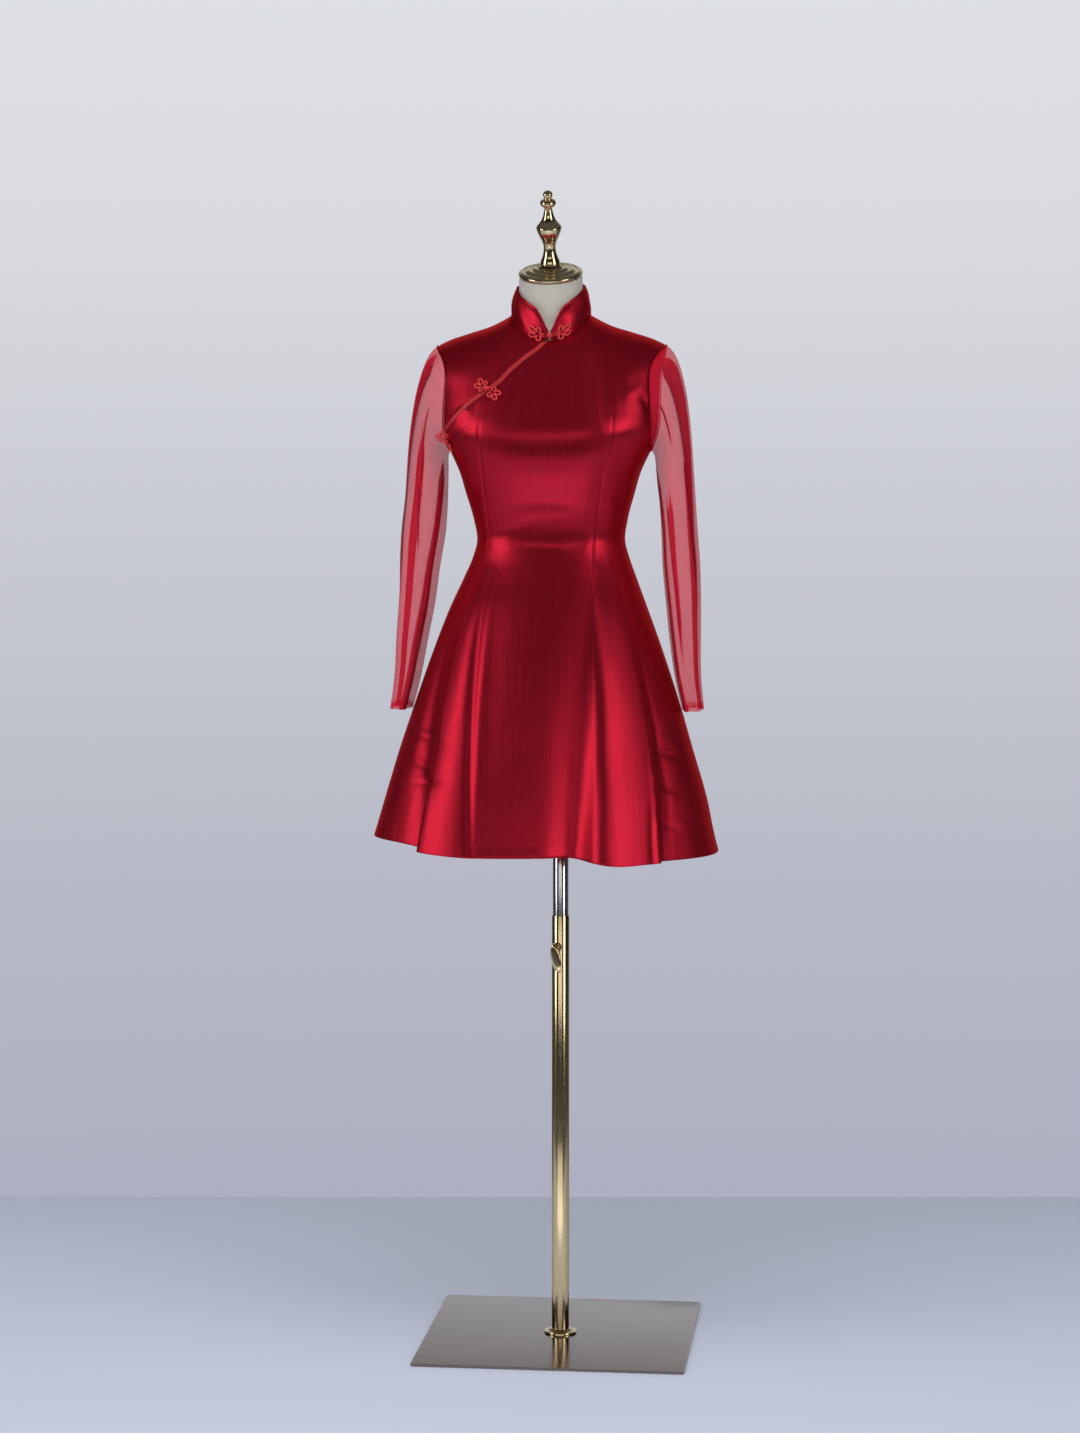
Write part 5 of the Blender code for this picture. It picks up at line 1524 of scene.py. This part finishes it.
def frog(name, size, stem, place_on, seat=1.02):
    """A frog fastening: a plaited button knot and two cord flowers, laid where place_on says."""
    cord = sizes().cord
    for side, ending in ((1, "left"), (-1, "right")):
        p, q = flower_path(size, stem).T * side
        points, outs = place_on(p, q, 0.0)
        flower = swept(name + "_flower_" + ending, points, outs, cord / 2, 12, cord_satin(), taper=0.02)
        on_form(flower, "satin_cord", name + "_" + ending)
    radius = KNOT * size**0.5
    at = place_on(np.zeros(1), np.zeros(1), radius * seat - cord / 2)[0][0]
    strand = radius * 0.30
    path = knot_path(radius - strand)
    plait = swept("plait", path + at, unit(path), strand, 8, cord_satin(), closed=True)
    core = bmesh.new()
    bmesh.ops.create_icosphere(core, subdivisions=3, radius=radius - strand)
    bmesh.ops.translate(core, verts=core.verts, vec=Vector(at + AXIS))
    mesh = bpy.data.meshes.new("core")
    core.to_mesh(mesh)
    core.free()
    button = joined(name + "_button", [plait, placed("core", mesh)])
    on_form(button, "satin_cord", name + "_knot")


class CHEONGSAM_OT_frogs(Operator):
    """Makes the three frog fastenings: at the collar, the chest and the underarm"""

    bl_idname = "cheongsam.frogs"
    bl_label = "Frog fastenings"

    def execute(self, context):
        cord = sizes().cord
        binding = 0.0010
        frog("collar_frog", 1.0, COLLAR_STEM, self.on_collar, COLLAR_KNOT_SEAT)

        place = CHEST_FROG
        height = opening_height(place.share)
        here, across, up, out = shell_frame(np.array(place.share), np.array(height), -1)
        right = unit(across)
        slant = math.radians(place.slant)
        along = unit(right * math.cos(slant) + np.cross(out, right) * math.sin(slant))
        sideways = np.cross(out, along)

        def on_chest(p, q, more):
            over = np.clip((KNOT_REACH - np.abs(p)) / KNOT_EASE, 0.0, 1.0)
            clear = (BINDING_LIFT + binding) * over + CORD_LIFT + cord / 2
            flat = here + along * p[:, None] + sideways * FROG_HIGH * q[:, None]
            foot, normal = on_front(flat, place.share, height, 0.0)
            return foot + normal * (clear + more)[:, None], normal

        frog("chest_frog", place.size, STEM, on_chest)

        here, across, up, face = shell_frame(*(np.array(v) for v in UNDERARM_KNOT), -1)
        clear = BINDING_LIFT + binding + cord / 2
        down = unit(shell_point(*UNDERARM_DOWN, -1) - here)
        face = unit(face - down * face.dot(down))
        over = unit(np.array(UNDERARM_UP))
        front = np.array(UNDERARM_FACE)
        front = unit(front - over * front.dot(over))

        def at_underarm(p, q, more):
            ahead = (p >= 0)[:, None]
            run, out = np.where(ahead, down, -over), np.where(ahead, face, front)
            at = here + (face + front) * clear / 1.6 + run * p[:, None] + np.cross(out, run) * q[:, None]
            return at + unit(face + front) * more, out

        frog("underarm_frog", UNDERARM_SIZE, STEM, at_underarm)
        return {"FINISHED"}

    def on_collar(self, p, q, more):
        arc = math.degrees(1 / NECK_FRONT)
        angle = COLLAR_TURN + p * COLLAR_FROG_LONG * arc
        share = 0.12 + (q * FROG_HIGH + np.abs(p) * 0.06) / 0.050
        here = collar_point(angle, share)
        across = collar_point(angle + 0.5, share) - collar_point(angle - 0.5, share)
        up = collar_point(angle, share + 0.02) - collar_point(angle, share - 0.02)
        out = unit(np.cross(across, up))
        clear = CORD_LIFT + sizes().cord / 2 + more + np.maximum(0.0, 0.03 - share) * 0.055
        return here + out * clear[:, None], out


def form_ring(z, count):
    """A level ring of the dress form, clear of the dress round it."""
    a = np.linspace(0.0, 2 * math.pi, count, endpoint=False)
    front = np.cos(a) > 0
    if z > CHEST:
        wide = column(FORM_UPPER, "z", z, "wide")
        deep = np.where(front, column(FORM_UPPER, "z", z, "front"), column(FORM_UPPER, "z", z, "back"))
        power = 2 / column(FORM_UPPER, "z", z, "square")
    else:
        wide = min(body(z, "right"), body(z, "left")) - FORM_EASE
        deep = np.where(front, body(z, "front"), body(z, "back")) - FORM_EASE
        power = 2 / np.where(front, body(z, "front_square"), body(z, "back_square"))
        if z < FORM_HIPS[-1].z + HIP_BLEND:
            blend = min(1.0, max(0.0, (z - FORM_HIPS[-1].z) / HIP_BLEND))
            blend = blend * blend * (3 - 2 * blend)
            hip_z = min(z, FORM_HIPS[-1].z)
            hip_front, hip_back, hip_wide = (
                column(FORM_HIPS, "z", hip_z, name) for name in ("front", "back", "wide")
            )
            hip_deep = np.where(front, hip_front, hip_back)
            wide = hip_wide + (wide - hip_wide) * blend
            deep = hip_deep + (deep - hip_deep) * blend
    x = np.copysign(wide * np.abs(np.sin(a)) ** power, np.sin(a))
    y = -np.copysign(deep * np.abs(np.cos(a)) ** power, np.cos(a))
    if z > UNDERARM - 0.02:
        x = np.clip(x, -ARM_PLATE, ARM_PLATE)
    return np.stack([x, y, np.full(count, z)], axis=-1)


def neck_matrix():
    place = Matrix.Translation((FORM_X, FORM_Y + NECK_TOP_Y, NECK_TOP_Z))
    return place @ Matrix.Rotation(NECK_LEAN, 4, "X")


class CHEONGSAM_OT_form(Operator):
    """Makes the limbless dress form under its knitted cover"""

    bl_idname = "cheongsam.form"
    bl_label = "Dress form"

    def execute(self, context):
        count = 144
        rows = [form_ring(z, count) for z in np.linspace(FORM_BOTTOM, CHEST - 0.0005, 90)]
        rows += [form_ring(z, count) for z in np.linspace(FORM_UPPER[0].z, FORM_UPPER[-1].z, 26)]
        a = np.linspace(0.0, 2 * math.pi, count, endpoint=False)
        lean = np.array(Matrix.Rotation(NECK_LEAN, 3, "X"))
        top = np.stack([NECK_TOP_RADIUS * np.sin(a), -NECK_TOP_RADIUS * np.cos(a), 0 * a], axis=-1)
        top = top @ lean.T + np.array([0.0, NECK_TOP_Y, NECK_TOP_Z])
        rows += [rows[-1] + (top - rows[-1]) * t for t in (0.25, 0.5, 0.75)] + [top]
        points = np.array(rows)
        looped = np.concatenate([points, points[:, :1]], axis=1)
        form = grid_object("form_cover", points, lengths(looped), closed=True)
        close_ends(form)
        form.data.set_sharp_from_angle(angle=math.radians(40))
        form.data.materials.append(jersey())
        on_form(form, "form_jersey", "torso_form")
        return {"FINISHED"}


class CHEONGSAM_OT_neck(Operator):
    """Makes the neck's cap and its turned finial"""

    bl_idname = "cheongsam.neck"
    bl_label = "Neck cap and finial"

    def execute(self, context):
        cap = turned("cap_turned", smooth_profile(CAP, 5), gold(), SEAM_GAP)
        on_form(moved(cap, neck_matrix()), "gold_plate", "neck_cap")
        lift = CAP[0].height + 2 * SEAM_GAP
        top = turned("finial_turned", smooth_profile(FINIAL, 6), gold(), lift)
        on_form(moved(top, neck_matrix()), "gold_plate", "finial")
        return {"FINISHED"}


class CHEONGSAM_OT_stand(Operator):
    """Makes the base plate, flange, telescopic tubes, clamp screw and the form's socket"""

    bl_idname = "cheongsam.stand"
    bl_label = "Stand"

    def execute(self, context):
        self.plate()
        low = PLATE_THICK + SEAM_GAP
        inner = LOWER_TUBE_RADIUS + SEAM_GAP
        flange = [
            (inner, low + 0.0070),
            (inner + 0.0022, low + 0.0070),
            (inner + 0.0034, low + 0.0062),
            (inner + 0.0048, low + 0.0046),
            (inner + 0.0070, low + 0.0038),
            (FLANGE_RADIUS - 0.002, low + 0.0034),
            (FLANGE_RADIUS - 0.0005, low + 0.0028),
            (FLANGE_RADIUS, low + 0.0018),
            (FLANGE_RADIUS, low),
            (inner, low),
        ]
        piece = turned("flange_turned", flange, gold())
        self.place(piece, "base", "gold_plate", "pole_flange")
        radius = LOWER_TUBE_RADIUS
        tube = rounded(low, LOWER_TUBE_TOP, radius - LOWER_TUBE_WALL, radius)
        self.place(turned("lower_pole", tube, gold()), "base", "gold_plate", "lower_tube")
        high = FORM_BOTTOM - SEAM_GAP
        tube = rounded(MAST_BOTTOM, high, MAST_RADIUS - MAST_WALL, MAST_RADIUS)
        self.place(turned("mast_pole", tube, steel()), "mast", "polished_steel", "mast_tube")
        bore = MAST_RADIUS + SEAM_GAP
        socket = [
            (bore, high),
            (SOCKET_PLATE_RADIUS - 0.0005, high),
            (SOCKET_PLATE_RADIUS, high - 0.0005),
            (SOCKET_PLATE_RADIUS, high - SOCKET_PLATE + 0.0005),
            (SOCKET_PLATE_RADIUS - 0.0006, high - SOCKET_PLATE),
            (SOCKET_RADIUS + 0.002, high - SOCKET_PLATE),
            (SOCKET_RADIUS, high - SOCKET_PLATE - 0.002),
            (SOCKET_RADIUS - 0.0055, high - SOCKET_DEPTH + 0.001),
            (SOCKET_RADIUS - 0.0065, high - SOCKET_DEPTH),
            (bore, high - SOCKET_DEPTH),
        ]
        self.place(turned("socket_turned", socket, steel()), "form", "polished_steel", "form_socket")
        self.clamp()
        return {"FINISHED"}

    def place(self, obj, carrier, slot, *nodes):
        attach(obj, carrier)
        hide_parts(*nodes)

    def plate(self):
        """The square plate, with round corners and a softly turned top edge."""
        cut = bmesh.new()
        half = PLATE_SIDE / 2 - PLATE_CORNER
        outline = []
        for quarter, (sx, sy) in enumerate(((1, 1), (-1, 1), (-1, -1), (1, -1))):
            for k in range(9):
                a = math.pi / 2 * (quarter + k / 8)
                x = sx * half + PLATE_CORNER * math.cos(a)
                y = sy * half + PLATE_CORNER * math.sin(a)
                outline.append(cut.verts.new((x, y, 0.0)))
        face = cut.faces.new(outline)
        raised = bmesh.ops.extrude_face_region(cut, geom=[face])
        verts = [v for v in raised["geom"] if isinstance(v, bmesh.types.BMVert)]
        bmesh.ops.translate(cut, verts=verts, vec=(0.0, 0.0, PLATE_THICK))
        rim = [e for e in cut.edges if abs(e.verts[0].co.z - e.verts[1].co.z) < 1e-6]
        bmesh.ops.bevel(cut, geom=rim, offset=0.0007, segments=3, affect="EDGES", profile=0.5)
        bmesh.ops.recalc_face_normals(cut, faces=cut.faces)
        mesh = bpy.data.meshes.new("plate_square")
        cut.to_mesh(mesh)
        cut.free()
        mesh.shade_smooth()
        mesh.set_sharp_from_angle(angle=math.radians(30))
        mesh.materials.append(plate_metal())
        self.place(placed("plate_square", mesh), "base", "plate_steel", "base_plate")

    def clamp(self):
        """The boss on the lower tube, and the thumb screw through it."""
        toward = Matrix.Rotation(CLAMP_TURN, 4, "Z") @ Matrix.Rotation(math.radians(90), 4, "X")
        at = Matrix.Translation((0.0, 0.0, CLAMP_Z)) @ toward
        start = LOWER_TUBE_RADIUS + SEAM_GAP
        bore = SCREW_RADIUS + SEAM_GAP
        ring = turned("boss_turned", rounded(0.0, BOSS_LENGTH, bore, BOSS_RADIUS), gold(), start, 40)
        self.place(moved(ring, at), "base", "gold_plate", "clamp_boss")

        end = start + BOSS_LENGTH + SCREW_LENGTH
        thread = [(0.0, end)]
        steps = 22
        for i in range(steps + 1):
            depth = 0.0003 if i % 2 else 0.0
            thread.append((SCREW_RADIUS - depth, end - (end - start - 0.0005) * i / steps))
        thread.append((0.0, start + 0.0005))
        screw = turned("screw", thread, gold(), 0.0, 32)
        paddle = self.paddle(end)
        whole = joined("thumb_screw", [screw, paddle])
        whole.data.set_sharp_from_angle(angle=math.radians(40))
        self.place(moved(whole, at), "clamp", "gold_plate", "clamp_screw")

    def paddle(self, end):
        """A teardrop grip with softly pillowed faces."""
        mesh = bpy.data.meshes.new("paddle")
        grip = bmesh.new()
        count = 48
        turn = np.linspace(0.0, 2 * math.pi, count, endpoint=False)
        along = HANDLE_LENGTH / 2 * (1 - np.cos(turn)) - 0.007
        across = HANDLE_WIDTH / 2 * np.sin(turn) * (0.75 + 0.25 * np.sin(turn / 2))
        centre = np.array([0.0, -(HANDLE_LENGTH / 2 - 0.007)])
        rim = np.stack([across, -along], axis=-1)
        lean = np.array(Matrix.Rotation(HANDLE_LEAN, 2))
        shares = [0.25, 0.5, 0.7, 0.85, 0.94, 0.985, 1.0]
        layers = {}
        for face in (1, -1):
            middle = lean @ centre
            layers[face] = [[grip.verts.new((*middle, end + face * HANDLE_THICK / 2))]]
            for share in shares:
                if share == 1.0 and face == -1:
                    layers[face].append(layers[1][-1])
                    continue
                z = end + face * HANDLE_THICK / 2 * math.sqrt(max(0.0, 1 - share**8))
                flat = (centre + (rim - centre) * share) @ lean.T
                layers[face].append([grip.verts.new((x, y, z)) for x, y in flat])
            for inner, outer in zip(layers[face], layers[face][1:]):
                for k in range(count):
                    j = (k + 1) % count
                    corners = [inner[k % len(inner)], outer[k], outer[j], inner[j % len(inner)]]
                    corners = [v for i, v in enumerate(corners) if v not in corners[:i]]
                    grip.faces.new(corners)
        bmesh.ops.recalc_face_normals(grip, faces=grip.faces)
        grip.to_mesh(mesh)
        grip.free()
        mesh.shade_smooth()
        return placed("paddle", mesh)


class CHEONGSAM_OT_stage(Operator):
    """Makes the camera, the pale floor and the soft studio lights"""

    bl_idname = "cheongsam.stage"
    bl_label = "Camera, floor and lights"

    def execute(self, context):
        self.camera(context)
        stage = context.scene.cheongsam_stage
        self.floor(stage)
        self.room(context, stage)
        context.scene.view_settings.view_transform = "Standard"
        self.softbox("key", (0.0, -5.6, 1.75), (0.0, 0.0, 1.35), 5.0, 0.9, stage.key_power)
        self.softbox("low", (0.0, -1.25, 0.10), (0.0, 0.0, 1.30), 1.6, 0.4, stage.low_power)
        self.softbox("window_right", (-3.5, -1.9, 2.0), (0.0, 0.0, 1.2), 1.5, 2.2, stage.window_power)
        self.softbox("window_left", (3.3, -2.3, 2.0), (0.0, 0.0, 1.2), 1.5, 2.2, stage.window_power)
        fill = self.softbox("fill", (0.0, -1.6, 3.4), (0.0, -0.2, 0.6), 3.6, 3.0, stage.fill_power)
        fill.visible_glossy = False
        return {"FINISHED"}

    def room(self, context, stage):
        """A pale backdrop for the camera, and a dim studio with a bright band at eye level for the light."""
        world = bpy.data.worlds.new("studio")
        world.use_nodes = True
        tree = world.node_tree
        way = add(tree, "ShaderNodeTexCoord")
        apart = add(tree, "ShaderNodeSeparateXYZ")
        link(tree, way.outputs["Generated"], apart.inputs["Vector"])
        height = add(tree, "ShaderNodeMapRange", From_Min=-1.0, From_Max=1.0)
        link(tree, apart.outputs["Z"], height.inputs["Value"])
        pale = tuple(stage.room)

        def by_height(stops):
            return ramp(tree, height.outputs["Result"], [((z + 1) / 2, shade(pale, by)) for z, by in stops])

        backdrop = ramp(tree, height.outputs["Result"], [((z + 1) / 2, colour) for z, colour in BACKDROP])
        behind = by_height([(-0.20, 0.80), (0.30, 1.00), (0.66, 1.00), (0.85, 0.30)])
        front = by_height(FRONT_LIGHT)
        back = add(tree, "ShaderNodeMapRange", interpolation_type="SMOOTHSTEP")
        back.inputs["From Min"].default_value = 0.55
        back.inputs["From Max"].default_value = 0.95
        link(tree, apart.outputs["Y"], back.inputs["Value"])
        light = self.mixed(tree, back.outputs["Result"], front, behind)
        seen = add(tree, "ShaderNodeLightPath").outputs["Is Camera Ray"]
        link(tree, self.mixed(tree, seen, light, backdrop), tree.nodes["Background"].inputs["Color"])
        tree.nodes["Background"].inputs["Strength"].default_value = 1.0
        context.scene.world = world

    def mixed(self, tree, share, low, high):
        node = add(tree, "ShaderNodeMix", data_type="RGBA")
        link(tree, share, node.inputs["Factor"])
        link(tree, low, node.inputs["A"])
        link(tree, high, node.inputs["B"])
        return node.outputs["Result"]

    def camera(self, context):
        """The camera where the photographer stood."""
        turn, pitch = CAMERA_TURN, CAMERA_PITCH
        right = Vector((math.cos(turn), math.sin(turn), 0.0))
        forward = Vector((-math.sin(turn), math.cos(turn), 0.0))
        up = Vector((0.0, 0.0, 1.0))
        place = right * CAMERA_ASIDE - forward * CAMERA_DISTANCE
        place.z = CAMERA_HEIGHT
        ahead = forward * math.cos(pitch) - up * math.sin(pitch)
        above = up * math.cos(pitch) + forward * math.sin(pitch)
        data = bpy.data.cameras.new("camera")
        data.sensor_fit = "VERTICAL"
        data.sensor_height = 24.0
        data.lens = CAMERA_LENS
        data.dof.use_dof = False
        camera = bpy.data.objects.new("camera", data)
        matrix = Matrix((right, above, -ahead)).transposed().to_4x4()
        matrix.translation = place
        camera.matrix_world = matrix
        context.scene.collection.objects.link(camera)
        context.scene.camera = camera

    def floor(self, stage):
        mesh = bpy.data.meshes.new("floor")
        wide, front, back = FLOOR_HALF, -FLOOR_FRONT, FLOOR_BACK
        corners = [(-wide, front, 0), (wide, front, 0), (wide, back, 0), (-wide, back, 0)]
        mesh.from_pydata(corners, [], [(0, 1, 2, 3)])
        mesh.transform(Matrix.Rotation(CAMERA_TURN, 4, "Z"))
        floor = placed("floor", mesh)
        material, tree, shader = new_material("floor_paint")
        shader.inputs["Base Color"].default_value = (*stage.floor, 1.0)
        shader.inputs["Roughness"].default_value = 0.6
        mesh.materials.append(material)

    def softbox(self, name, place, target, wide, high, power):
        data = bpy.data.lights.new(name, "AREA")
        data.shape = "RECTANGLE"
        data.size = wide
        data.size_y = high
        data.energy = power
        light = bpy.data.objects.new(name, data)
        light.location = place
        light.rotation_euler = (Vector(target) - Vector(place)).to_track_quat("-Z", "Y").to_euler()
        light.visible_camera = False
        bpy.context.scene.collection.objects.link(light)
        return light


class CHEONGSAM_PT_panel(Panel):
    """Lists the pieces and their sizes"""

    bl_label = "Cheongsam"
    bl_space_type = "VIEW_3D"
    bl_region_type = "UI"
    bl_category = "Cheongsam"

    def draw(self, context):
        layout = self.layout
        for operator in OPERATORS:
            layout.operator(operator.bl_idname)
        for group in ("cheongsam_sizes", "cheongsam_colours", "cheongsam_stage"):
            box = layout.box()
            settings = getattr(context.scene, group)
            for name in settings.__annotations__:
                box.prop(settings, name)


OPERATORS = (
    CHEONGSAM_OT_front,
    CHEONGSAM_OT_back,
    CHEONGSAM_OT_sleeves,
    CHEONGSAM_OT_collar,
    CHEONGSAM_OT_binding,
    CHEONGSAM_OT_frogs,
    CHEONGSAM_OT_form,
    CHEONGSAM_OT_neck,
    CHEONGSAM_OT_stand,
    CHEONGSAM_OT_stage,
)
GROUPS = (CheongsamSizes, CheongsamColours, CheongsamStage)


def register():
    for cls in GROUPS + OPERATORS + (CHEONGSAM_PT_panel,):
        bpy.utils.register_class(cls)
    bpy.types.Scene.cheongsam_sizes = PointerProperty(type=CheongsamSizes)
    bpy.types.Scene.cheongsam_colours = PointerProperty(type=CheongsamColours)
    bpy.types.Scene.cheongsam_stage = PointerProperty(type=CheongsamStage)


def unregister():
    del bpy.types.Scene.cheongsam_stage
    del bpy.types.Scene.cheongsam_colours
    del bpy.types.Scene.cheongsam_sizes
    for cls in reversed(GROUPS + OPERATORS + (CHEONGSAM_PT_panel,)):
        bpy.utils.unregister_class(cls)


def main():
    register()
    bpy.ops.cheongsam.front()
    bpy.ops.cheongsam.back()
    bpy.ops.cheongsam.sleeves()
    bpy.ops.cheongsam.collar()
    bpy.ops.cheongsam.binding()
    bpy.ops.cheongsam.frogs()
    bpy.ops.cheongsam.form()
    bpy.ops.cheongsam.neck()
    bpy.ops.cheongsam.stand()
    bpy.ops.cheongsam.stage()


if __name__ == "__main__":
    main()
